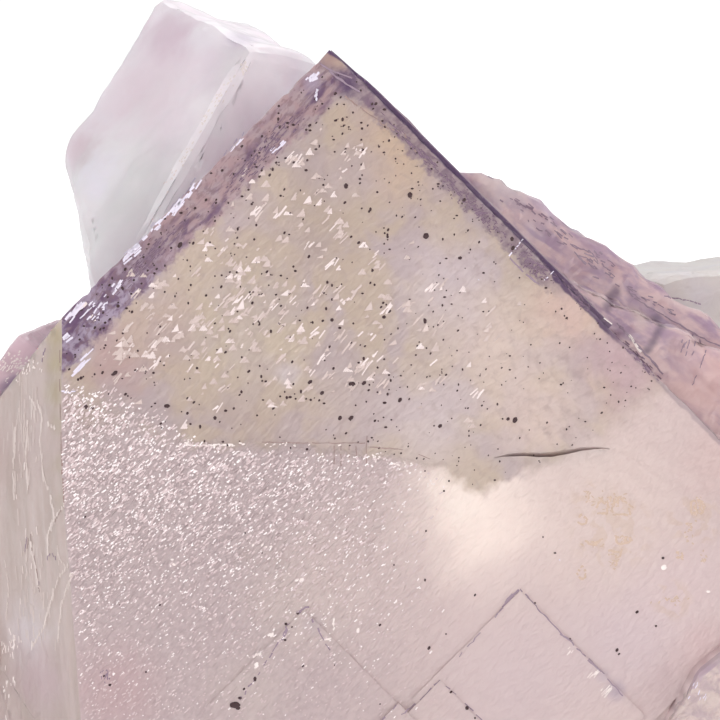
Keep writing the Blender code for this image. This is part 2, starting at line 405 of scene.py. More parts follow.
    def group(self, shared: bpy.types.NodeTree, **inputs: Any) -> Any:
        """Places a shared group.

        Args:
            shared: The group.
            inputs: What its sockets are fed, by name.

        Returns:
            Its outputs, by name.
        """
        node = self.add("Group", node_tree=shared)
        for name, value in inputs.items():
            self.feed(node.inputs[name], value)
        return node.outputs


def shared_group(name: str, inputs: dict[str, tuple[str, Any]], outputs: dict[str, str]) -> Tree:
    """Makes a node group with named sockets.

    Args:
        name: The group's name.
        inputs: For each input its kind (Float, Vector or Color) and its default.
        outputs: For each output its kind.

    Returns:
        The group's tree, whose group nodes are named input and output.
    """
    group = bpy.data.node_groups.new(name, "ShaderNodeTree")
    for label, (kind, value) in inputs.items():
        socket = group.interface.new_socket(
            label, in_out="INPUT", socket_type=f"NodeSocket{kind}"
        )
        socket.default_value = value
    for label, kind in outputs.items():
        group.interface.new_socket(label, in_out="OUTPUT", socket_type=f"NodeSocket{kind}")
    tree = Tree(group)
    tree.add("NodeGroupInput", name="input")
    tree.add("NodeGroupOutput", name="output")
    return tree


class SharedEffects:
    """The shader node groups that several finishes use."""

    def __init__(self) -> None:
        """Builds every group once."""
        self.place = self._place()
        self.clouds = self._clouds()
        self.grain = self._grain()

    def _place(self) -> bpy.types.NodeTree:
        """Makes the group for the face frame.

        Returns:
            A group that gives the place, and how far it lies towards each upper edge.
        """
        tree = shared_group(
            "face_place",
            {},
            {
                "Place": "Vector",
                "Right": "Float",
                "Behind": "Float",
                "Up": "Float",
                "To right edge": "Float",
                "To left edge": "Float",
            },
        )
        where = tree.add("TexCoord").outputs["Object"]
        where = tree.vector("SCALE", where, 1.0 / MM)
        where = tree.vector("SUBTRACT", where, FACE_CENTRE)
        turn = tree.add("Mapping")
        tree.feed(turn.inputs["Vector"], where)
        tree.feed(turn.inputs["Rotation"], (math.radians(LEAN_DEG), 0.0, 0.0))
        right, behind, up = tree.split(turn.outputs[0])
        to_right = tree.times(tree.plus(up, right), 1 / ROOT_2)
        to_left = tree.times(tree.minus(up, right), 1 / ROOT_2)
        out = tree.tree.nodes["output"]
        tree.fill(out, turn.outputs[0], right, behind, up, to_right, to_left)
        return tree.tree

    def _clouds(self) -> bpy.types.NodeTree:
        """Makes the group for soft patches.

        Returns:
            A group that gives a mask from stretched noise with a low and a high end.
        """
        tree = shared_group(
            "clouds",
            {
                "Place": ("Vector", (0.0, 0.0, 0.0)),
                "Stretch": ("Vector", (1.0, 1.0, 1.0)),
                "Scale": ("Float", 0.3),
                "Low": ("Float", 0.4),
                "High": ("Float", 0.6),
            },
            {"Mask": "Float"},
        )
        given = tree.tree.nodes["input"].outputs
        place = tree.vector("MULTIPLY", given["Place"], given["Stretch"])
        cloud = tree.noise(place, given["Scale"], 4.0, 0.4)[0]
        rise = tree.add("MapRange", interpolation_type="SMOOTHSTEP")
        tree.fill(rise, cloud, given["Low"], given["High"])
        tree.feed(tree.tree.nodes["output"].inputs["Mask"], rise.outputs[0])
        return tree.tree

    def _grain(self) -> bpy.types.NodeTree:
        """Makes the group for the fine frosted grain.

        Returns:
            A group that gives a height from 0 to 1, whose grain runs up to the right.
        """
        tree = shared_group(
            "grain",
            {
                "Place": ("Vector", (0.0, 0.0, 0.0)),
                "Scale": ("Float", 2.0),
                "Length": ("Float", 0.4),
            },
            {"Height": "Float"},
        )
        given = tree.tree.nodes["input"].outputs
        stretch = tree.join(given["Length"], 1.0, 1.0)
        place = tree.vector("MULTIPLY", tree.turned(given["Place"], 45.0), stretch)
        height = tree.noise(place, given["Scale"], 1.5, 0.3)[0]
        tree.feed(tree.tree.nodes["output"].inputs["Height"], height)
        return tree.tree


@dataclass(frozen=True)
class Stone:
    """The optical values of one kind of fluorite."""

    name: str
    roughness: float = 0.3
    transmission: float = 0.3
    subsurface: float = 0.3
    glow: float = 2.5
    ior: float = 1.434
    glow_shares: Colour = (1.0, 0.82, 0.86)

    def start(self) -> tuple[bpy.types.Material, Tree, bpy.types.Node]:
        """Starts a material.

        Returns:
            The material, its tree and its shader, with the plain values set.
        """
        material = bpy.data.materials.new(self.name)
        material.use_nodes = True
        tree = Tree(material.node_tree)
        shader = material.node_tree.nodes["Principled BSDF"]
        plain = {
            "Roughness": self.roughness,
            "IOR": self.ior,
            "Transmission Weight": self.transmission,
            "Subsurface Weight": self.subsurface,
            "Subsurface Radius": self.glow_shares,
            "Subsurface Scale": self.glow * MM,
        }
        for name, value in plain.items():
            tree.feed(shader.inputs[name], value)
        return material, tree, shader


@dataclass(frozen=True)
class Tint:
    """A soft patch of another colour at a place of the frame, with its radius in millimetres."""

    across: int
    down: int
    radius: float
    colour: Colour
    share: float = 0.7
    behind: float = 0.0


BROAD_TINT = 1.4
FLATTENED = (1.0, 0.0, 1.0)


def tinted(tree: Tree, place: Any, colour: Any, tints: tuple[Tint, ...]) -> Any:
    """Lays soft patches over a colour.

    Args:
        tree: The material's tree.
        place: The place in the face frame.
        colour: The colour below.
        tints: The patches, the first at the bottom.

    Returns:
        The colour with the patches.
    """
    cloud = tree.noise(place, 0.45, 4.0)["Color"]
    drift = tree.vector("SUBTRACT", cloud, (0.5, 0.5, 0.5))
    calm, wavy = (
        tree.vector("MULTIPLY", tree.vector("ADD", place, shift), FLATTENED)
        for shift in (drift, tree.vector("SCALE", drift, 3.4))
    )
    for tint in tints:
        spot = FRAMING.seen(tint.across, tint.down, tint.behind)
        broad = tint.radius > BROAD_TINT
        gap = tree.vector("DISTANCE", wavy if broad else calm, (spot.x, 0.0, spot.z))
        mask = tree.step(gap, tint.radius * (1.6 if broad else 1.35), tint.radius * 0.15)
        colour = tree.mix(tree.times(mask, tint.share), colour, tint.colour)
    return colour


class FaceField:
    """What the large cube's finish is worked out from: places, edges and unevenness."""

    def __init__(self, tree: Tree, effects: SharedEffects) -> None:
        """Places the shared group and adds the noises.

        Args:
            tree: The material's tree.
            effects: The shared groups.
        """
        at = tree.group(effects.place)
        self.tree = tree
        self.effects = effects
        self.place, self.right, self.behind, self.up = (
            at[name] for name in ("Place", "Right", "Behind", "Up")
        )
        self.to_left = at["To left edge"]
        self.depth_left = tree.minus(HALF, at["To left edge"])
        self.depth_right = tree.minus(HALF, at["To right edge"])
        self.wander = tree.minus(tree.noise(self.place, 0.9, 4.0)[0], 0.5)
        fine = tree.minus(tree.noise(self.place, 3.0, 3.0)[0], 0.5)
        self.ragged = tree.plus(tree.times(self.wander, 1.6), fine)

    def clouds(
        self,
        scale: float,
        low: float,
        high: float,
        slant: float = 0.0,
        stretch: Point = UNSTRETCHED,
    ) -> bpy.types.NodeSocket:
        """Adds soft patches.

        Args:
            scale: How many patches there are to a millimetre.
            low: The noise where the patches begin.
            high: The noise where they are full.
            slant: How far they turn up to the right, in degrees.
            stretch: Shares of the scale along each axis.

        Returns:
            A mask from 0 to 1.
        """
        place = self.tree.turned(self.place, slant) if slant else self.place
        patches = self.tree.group(
            self.effects.clouds, Place=place, Stretch=stretch, Scale=scale, Low=low, High=high
        )
        return patches["Mask"]


@dataclass(frozen=True)
class ClearZoned:
    """The large cube: tan and lilac inside, purple along its upper edges, frosted below."""

    stone: Stone = Stone("fluorite_zoned", roughness=0.3, transmission=0.2, subsurface=0.25)
    tan: Colour = paint(193, 174, 160)
    lilac: Colour = paint(184, 166, 168)
    veil: Colour = (0.72, 0.62, 0.60)
    dusk: Colour = paint(164, 142, 140)
    band: Colour = paint(176, 147, 151)
    band_grey: Colour = paint(176, 154, 160)
    streak: Colour = paint(100, 70, 106)
    streak_blue: Colour = paint(162, 147, 170)
    clump: Colour = paint(98, 70, 104)
    score: Colour = paint(126, 98, 106)
    violet: Colour = paint(120, 98, 118)
    line: Colour = paint(76, 50, 92)
    rim: Colour = paint(150, 132, 142)
    dust: Colour = paint(160, 140, 148)
    frosted: Colour = paint(200, 181, 183)
    frosted_dark: Colour = paint(180, 160, 163)
    frosted_warm: Colour = paint(211, 190, 189)
    side: Colour = paint(172, 150, 160)
    stain: Colour = paint(202, 174, 152)
    upper_tints: tuple[Tint, ...] = (
        Tint(400, 140, 3.6, paint(202, 176, 156), 0.8),
        Tint(305, 220, 3.4, paint(182, 163, 150), 0.7),
        Tint(250, 420, 2.8, paint(182, 162, 154), 0.6),
        Tint(240, 330, 4.2, paint(202, 186, 168), 0.6),
        Tint(115, 360, 2.2, paint(186, 156, 154), 0.8),
        Tint(160, 330, 2.4, paint(190, 166, 158), 0.6),
        Tint(350, 170, 2.0, paint(188, 170, 172), 0.7),
        Tint(450, 290, 3.2, paint(206, 190, 194), 0.8),
        Tint(350, 400, 2.6, paint(190, 172, 172), 0.7),
        Tint(500, 350, 3.4, paint(216, 196, 188), 0.8),
        Tint(430, 420, 3.0, paint(204, 188, 190), 0.8),
        Tint(570, 310, 2.4, paint(214, 184, 174), 0.8),
        Tint(622, 368, 2.6, paint(194, 164, 170), 0.85),
        Tint(540, 420, 3.0, paint(214, 192, 184), 0.7),
        Tint(288, 372, 0.9, paint(212, 200, 204), 0.55),
        Tint(75, 352, 1.1, paint(196, 184, 190), 0.7),
        Tint(108, 356, 1.1, paint(188, 160, 158), 0.5),
    )
    tip_tints: tuple[Tint, ...] = (
        Tint(345, 84, 0.8, paint(92, 66, 104), 0.9),
        Tint(372, 102, 0.5, paint(120, 92, 118), 0.7),
        Tint(331, 59, 0.75, paint(174, 146, 140), 0.95),
        Tint(340, 64, 0.5, paint(184, 158, 148), 0.95),
        Tint(312, 84, 0.7, paint(168, 152, 176), 0.7),
    )
    lower_tints_and_painted_light: tuple[Tint, ...] = (
        Tint(115, 690, 2.6, paint(198, 168, 172), 0.7),
        Tint(90, 402, 2.0, paint(196, 174, 166), 0.6),
        Tint(246, 556, 0.45, paint(186, 166, 166), 0.8),
        Tint(279, 557, 0.45, paint(186, 166, 166), 0.8),
        Tint(300, 600, 3.4, paint(208, 191, 186), 0.55),
        Tint(250, 690, 2.4, paint(206, 190, 186), 0.5),
        Tint(313, 623, 0.8, paint(192, 176, 182), 0.6),
        Tint(340, 656, 0.8, paint(190, 172, 172), 0.6),
        # painted highlight: the next two warm pale tints stand in for the soft reflection of the
        # warm front lamp
        Tint(472, 512, 4.4, paint(248, 230, 222), 0.9),
        Tint(455, 490, 2.2, paint(250, 234, 226), 0.6),
        Tint(600, 500, 5.0, paint(224, 204, 198), 0.6),
        Tint(360, 560, 5.0, paint(214, 194, 192), 0.7),
        Tint(520, 680, 4.4, paint(206, 186, 190), 0.7),
        Tint(630, 640, 3.6, paint(208, 188, 194), 0.7),
        Tint(700, 590, 3.2, paint(214, 192, 194), 0.7),
        # painted shade: the next two tints darken the face beside the crust plate
        Tint(668, 690, 2.2, paint(198, 174, 177), 0.8),
        Tint(704, 650, 1.6, paint(210, 182, 184), 0.8),
        Tint(616, 690, 0.7, paint(182, 164, 178), 0.8),
        Tint(602, 676, 0.5, paint(190, 172, 182), 0.7),
        Tint(715, 460, 2.2, paint(212, 186, 184), 0.7),
    )
    # painted light: pale patches along the groove by the crust plate lighten its shade
    groove_painted_light: tuple[Tint, ...] = tuple(
        Tint(across, down, 0.5, paint(244, 224, 224), 0.7)
        for across, down in ((670, 715), (680, 703), (691, 687), (703, 671), (716, 658))
    )
    rust_at: tuple[tuple[int, int, float], ...] = (
        (612, 530, 3.2),
        (694, 520, 2.2),
        (672, 600, 1.6),
        (590, 500, 1.5),
    )

    def build(self, effects: SharedEffects) -> bpy.types.Material:
        """Builds the material.

        Args:
            effects: The shared groups.

        Returns:
            The material.
        """
        material, tree, shader = self.stone.start()
        face = FaceField(tree, effects)
        lower = self._lower(face)
        colour = tree.mix(lower, self._clear(face), self._frosted(face))
        colour = tree.mix(self._rust(face), colour, self.stain)
        colour = self._left_band(face, colour)
        colour = self._right_band(face, colour)
        colour = tinted(tree, face.place, colour, self.tip_tints)
        colour = self._edge_line(face, colour)
        deep = tree.plus(face.behind, tree.times(face.wander, 2.0))
        colour = tree.mix(tree.step(deep, 0.6, 2.2), colour, self.side)
        # painted light laid over the groove by the crust plate
        colour = tinted(tree, face.place, colour, self.groove_painted_light)
        tree.feed(shader.inputs["Base Color"], colour)
        tree.feed(shader.inputs["Normal"], tree.bump(self._relief(face, lower), 0.24))
        return material

    def _clear(self, face: FaceField) -> Any:
        """Colours the upper zone, seen through clear stone.

        Args:
            face: The values that the finish is worked out from.

        Returns:
            The colour.
        """
        tree = face.tree
        colour = tree.mix(face.clouds(0.30, 0.42, 0.60), self.tan, self.lilac)
        colour = tinted(tree, face.place, colour, self.upper_tints)
        veils = face.clouds(1.6, 0.55, 0.75, 45.0, (0.4, 1.0, 1.6))
        colour = tree.mix(tree.times(veils, 0.22), colour, self.veil)
        return tree.mix(tree.times(face.clouds(1.8, 0.48, 0.70), 0.30), colour, self.dusk)

    def _lower(self, face: FaceField) -> Any:
        """Marks out the frosted lower zone, softer towards both sides.

        Args:
            face: The values that the finish is worked out from.

        Returns:
            A mask that is 1 in the lower zone.
        """
        tree = face.tree
        above = tree.minus(face.up, self._boundary(tree, face.right))
        above = tree.plus(above, tree.times(face.wander, 2.0))
        soft = tree.plus(tree.step(face.right, -7.0, -12.0), tree.step(face.right, 12.5, 18.0))
        above = tree.math("DIVIDE", above, tree.plus(tree.times(soft, 2.2), 1.0))
        return tree.step(above, 0.45, -0.55)

    def _frosted(self, face: FaceField) -> Any:
        """Colours the frosted lower zone, mottled at the left, with a painted warm highlight and
        painted shade beside the crust plate.

        Args:
            face: The values that the finish is worked out from.

        Returns:
            The colour.
        """
        tree = face.tree
        warm = tree.step(tree.plus(face.right, tree.times(face.wander, 8.0)), -4.0, 12.0)
        colour = tree.mix(warm, self.frosted, self.frosted_warm)
        mottled = tree.times(face.clouds(2.6, 0.40, 0.62), tree.step(face.right, 8.0, -4.0))
        colour = tree.mix(tree.times(mottled, 0.42), colour, self.frosted_dark)
        return tinted(tree, face.place, colour, self.lower_tints_and_painted_light)

    def _rust(self, face: FaceField) -> Any:
        """Marks out rusty rings and smears, near some places of the frame.

        Args:
            face: The values that the finish is worked out from.

        Returns:
            A mask from 0 to 1.
        """
        tree = face.tree
        spots = face.clouds(1.1, 0.50, 0.60)
        rings = tree.times(spots, tree.minus(1.5, spots))
        near: Any = 0.0
        for across, down, radius in self.rust_at:
            gap = tree.vector("DISTANCE", face.place, FRAMING.seen(across, down))
            near = tree.math("MAXIMUM", near, tree.step(gap, radius, radius * 0.5))
        return tree.times(tree.times(rings, near), 0.55)

    def _left_band(self, face: FaceField, colour: Any) -> Any:
        """Lays the purple growth zones along the upper left edge.

        Args:
            face: The values that the finish is worked out from.
            colour: The colour below.

        Returns:
            The colour with the zones.
        """
        tree = face.tree
        depth = tree.plus(face.depth_left, face.ragged)
        left = tree.times(tree.step(depth, 2.75, 2.2), tree.step(face.up, 6.6, 9.6))
        inner = tree.step(tree.math("ABSOLUTE", tree.minus(depth, 1.6)), 1.2, 0.2)
        low_end = tree.step(face.up, 21.0, 15.0)
        dark = tree.times(tree.math("MAXIMUM", inner, low_end), 0.65)
        streaks = face.clouds(1.7, 0.46, 0.64, 45.0, (0.28, 1.0, 1.1))
        dark = tree.times(tree.plus(dark, 0.25), streaks)
        clumps = tree.mix(face.clouds(1.5, 0.44, 0.58), self.streak_blue, self.clump)
        band = tree.mix(face.clouds(1.1, 0.40, 0.62, 45.0), self.band, self.band_grey)
        band = tree.mix(tree.times(low_end, 0.9), band, clumps)
        band = tree.mix(dark, band, self.streak)
        scored = face.clouds(4.2, 0.50, 0.60, 52.0, (0.45, 1.0, 1.0))
        band = tree.mix(tree.times(scored, 0.5), band, self.score)
        return tree.mix(left, colour, band)

    def _right_band(self, face: FaceField, colour: Any) -> Any:
        """Lays the dusty violet zone along the upper right edge.

        Args:
            face: The values that the finish is worked out from.
            colour: The colour below.

        Returns:
            The colour with the zone.
        """
        tree = face.tree
        depth = tree.plus(face.depth_right, tree.times(face.ragged, 1.1))
        right = tree.times(tree.step(depth, 1.25, 0.75), tree.step(face.to_left, 0, 3))
        dusty = tree.mix(face.clouds(2.2, 0.35, 0.65), self.violet, self.dust)
        return tree.mix(tree.times(right, 0.85), colour, dusty)

    def _edge_line(self, face: FaceField, colour: Any) -> Any:
        """Lays the dark line and the pale rim of the upper right edge.

        Args:
            face: The values that the finish is worked out from.
            colour: The colour below.

        Returns:
            The colour with both.
        """
        tree = face.tree
        stepped = tree.times(tree.step(face.to_left, 1.8, 2.6), tree.step(face.to_left, 22, 21))
        thin = tree.plus(face.depth_right, tree.times(face.wander, 0.55))
        thin = tree.plus(thin, tree.times(stepped, 0.26))
        faint = tree.times(tree.step(face.to_left, -2.4, -4.6), 0.6)
        line = tree.times(tree.step(thin, 0.36, 0.20), tree.minus(0.92, faint))
        colour = tree.mix(line, colour, self.line)
        return tree.mix(tree.step(face.depth_right, -0.28, -0.34), colour, self.rim)

    def _relief(self, face: FaceField, lower: Any) -> Any:
        """Works out the grain, strongest at the left of the frosted zone.

        Args:
            face: The values that the finish is worked out from.
            lower: The mask of the lower zone.

        Returns:
            Its height from 0 to 1.
        """
        tree = face.tree
        grain = tree.group(face.effects.grain, Place=face.place, Scale=3.4, Length=0.42)
        frost = tree.plus(0.35, tree.step(face.up, -12.0, 2.0))
        frost = tree.times(tree.step(face.right, 10.0, 2.0), frost)
        frost = tree.times(tree.plus(frost, 0.10), lower)
        return tree.times(grain["Height"], tree.plus(frost, 0.14))

    def _boundary(self, tree: Tree, right: Any) -> Any:
        """Follows the zone boundary with a curve.

        Args:
            tree: The material's tree.
            right: How far to the right on the face.

        Returns:
            How far up the face the boundary runs there.
        """
        low, high = BOUNDARY.places[0][0], BOUNDARY.places[-1][0]
        tall = max(y for _, y in BOUNDARY.places)
        share = tree.math("DIVIDE", tree.minus(right, low), high - low)
        node = tree.add("FloatCurve")
        curve = node.mapping.curves[0]
        places = [((x - low) / (high - low), y / tall) for x, y in BOUNDARY.places]
        curve.points[0].location = places[0]
        curve.points[1].location = places[-1]
        for x, y in places[1:-1]:
            curve.points.new(x, y)
        for point in curve.points:
            point.handle_type = "VECTOR"
        node.mapping.update()
        tree.feed(node.inputs["Value"], share)
        return tree.times(node.outputs[0], tall)


@dataclass(frozen=True)
class Cloudy:
    """A neighbouring crystal, with two colours in soft patches and a lumpy surface."""

    stone: Stone
    first: Colour
    second: Colour
    patch_scale: float = 0.25
    stretch: Point = UNSTRETCHED
    slant: float = 0.0
    grain_scale: float = 1.6
    grain_depth: float = 0.12
    tints: tuple[Tint, ...] = ()

    def build(self, effects: SharedEffects) -> bpy.types.Material:
        """Builds the material.

        Args:
            effects: The shared groups.

        Returns:
            The material.
        """
        material, tree, shader = self.stone.start()
        place = tree.group(effects.place)["Place"]
        patches = tree.group(
            effects.clouds, Place=tree.turned(place, self.slant), Stretch=self.stretch,
            Scale=self.patch_scale, Low=0.38, High=0.64,
        )
        colour = tree.mix(patches["Mask"], self.first, self.second)
        tree.feed(shader.inputs["Base Color"], tinted(tree, place, colour, self.tints))
        grain = tree.group(effects.grain, Place=place, Scale=self.grain_scale, Length=0.6)
        tree.feed(shader.inputs["Normal"], tree.bump(grain["Height"], self.grain_depth))
        return material


@dataclass(frozen=True)
class Mark:
    """An opaque finish for small marks, with one colour."""

    name: str
    roughness: float
    colour: Colour

    def build(self) -> bpy.types.Material:
        """Builds the material.

        Returns:
            The material.
        """
        stone = Stone(self.name, self.roughness, transmission=0.0, subsurface=0.0)
        material, tree, shader = stone.start()
        tree.feed(shader.inputs["Base Color"], self.colour)
        return material


FINISHES = {
    Zone.BREAK: Cloudy(
        Stone("fluorite_cleaved", roughness=0.34, transmission=0.15, subsurface=0.3),
        paint(195, 177, 173), paint(182, 164, 158), 0.6, (1.0, 1.0, 0.18),
        grain_scale=1.0,
        grain_depth=0.15,
        tints=(
            Tint(56, 336, 1.0, paint(178, 162, 136), 0.95),
            Tint(54, 362, 1.0, paint(176, 160, 134), 0.95),
            Tint(54, 392, 1.1, paint(174, 158, 136), 0.9),
            Tint(57, 425, 0.9, paint(176, 160, 142), 0.8),
            Tint(60, 465, 0.8, paint(178, 162, 148), 0.7),
            Tint(64, 500, 0.7, paint(180, 164, 152), 0.6),
            Tint(22, 440, 2.2, paint(196, 176, 174), 0.6),
            Tint(12, 645, 2.0, paint(212, 200, 204), 0.8),
            Tint(30, 692, 2.2, paint(192, 168, 174), 0.7),
        ),
    ),
    Zone.PALE: Cloudy(
        Stone("fluorite_pale", roughness=0.35, transmission=0.45, subsurface=0.6, glow=7.0),
        paint(240, 232, 239), paint(234, 220, 230), 0.16,
        grain_scale=1.0,
        grain_depth=0.02,
        tints=(
            Tint(150, 90, 3.5, paint(230, 214, 222), 0.7, 30.0),
            Tint(165, 26, 2.2, paint(212, 188, 202), 0.7, 30.0),
            Tint(80, 145, 1.6, paint(210, 186, 196), 0.7, 30.0),
            Tint(130, 190, 4.5, paint(240, 240, 240), 0.8, 30.0),
            Tint(100, 180, 1.8, paint(242, 236, 250), 0.8, 30.0),
            Tint(245, 45, 1.4, paint(190, 174, 198), 0.7, 32.0),
            # painted light: the next four tints lighten the pale block where shade falls, along the
            # large cube, on its right facet and on its lower left face
            Tint(225, 130, 2.6, paint(255, 246, 250), 0.8, 32.0),
            Tint(262, 92, 2.4, paint(255, 240, 246), 0.8, 32.0),
            Tint(205, 180, 1.8, paint(255, 244, 248), 0.8, 32.0),
            Tint(100, 250, 2.6, paint(255, 250, 255), 0.8, 30.0),
        ),
    ),
    Zone.LILAC: Cloudy(
        Stone("fluorite_lilac", roughness=0.3, transmission=0.15, subsurface=0.3),
        paint(214, 187, 189), paint(172, 146, 168), 1.1, (0.4, 1.0, 1.0), -34.0,
        tints=(
            Tint(500, 182, 1.8, paint(220, 206, 206), 0.6, 6.0),
            Tint(540, 210, 1.6, paint(214, 198, 210), 0.45, 6.0),
            Tint(575, 262, 1.4, paint(210, 180, 184), 0.45, 6.0),
            Tint(700, 390, 2.6, paint(214, 180, 178), 0.9, 4.0),
            Tint(676, 347, 1.2, paint(200, 170, 172), 0.6, 4.0),
            Tint(638, 316, 0.8, paint(206, 184, 180), 0.8, 4.0),
            Tint(622, 287, 0.42, paint(128, 108, 128), 0.8, 3.0),
            Tint(617, 293, 0.42, paint(128, 108, 128), 0.8, 3.0),
            Tint(613, 300, 0.40, paint(128, 108, 128), 0.8, 3.0),
            Tint(609, 307, 0.38, paint(128, 108, 128), 0.8, 3.0),
            Tint(663, 318, 0.40, paint(124, 106, 126), 0.8, 3.0),
            Tint(660, 325, 0.40, paint(124, 106, 126), 0.8, 3.0),
            Tint(656, 332, 0.40, paint(124, 106, 126), 0.8, 3.0),
            Tint(652, 340, 0.40, paint(124, 106, 126), 0.8, 3.0),
            Tint(648, 348, 0.38, paint(124, 106, 126), 0.8, 3.0),
        ),
    ),
    Zone.GREEN: Cloudy(
        Stone("fluorite_grey_green", roughness=0.3, transmission=0.25, subsurface=0.35, glow=4.0),
        paint(208, 198, 194), paint(202, 192, 196), 0.2,
    ),
    Zone.ROSE: Cloudy(
        Stone("fluorite_rose", roughness=0.3, transmission=0.15, subsurface=0.3),
        paint(220, 192, 202), paint(204, 176, 186), 0.6,
        tints=(
            Tint(4, 392, 0.9, paint(132, 106, 142), 0.9, 10.0),
            Tint(12, 384, 0.7, paint(146, 120, 152), 0.8, 10.0),
        ),
    ),
    Zone.CRUST: Cloudy(
        Stone("fluorite_crust", roughness=0.55, transmission=0.05, subsurface=0.35),
        paint(208, 190, 186), paint(188, 168, 172), 1.5,
        grain_scale=2.6,
        grain_depth=0.25,
    ),
    Zone.OUTER: Cloudy(
        Stone("fluorite_plain", roughness=0.28, transmission=0.2, subsurface=0.28),
        paint(202, 182, 180), paint(178, 154, 170), 0.16,
    ),
}


@dataclass(frozen=True)
class CornerCrystal:
    """A neighbour whose corner shows from the front, as in the part's source."""

    zone: Zone
    at: Point
    along: Point
    beside: Point
    sizes: Point

    def into(self) -> Matrix:
        """Works out how to tell whether a place is inside.

        Returns:
            The matrix that takes the face frame to shares of the crystal's three sides.
        """
        along = Vector(self.along).normalized()
        beside = Vector(self.beside)
        beside = (beside - along * along.dot(beside)).normalized()
        down = along.cross(beside)
        down = down if down.z < 0 else -down
        axes = Matrix((along, beside, down)).to_4x4()
        shares = Matrix.Diagonal([1.0 / size for size in self.sizes] + [1.0])
        return shares @ axes @ Matrix.Translation(-Vector(self.at))


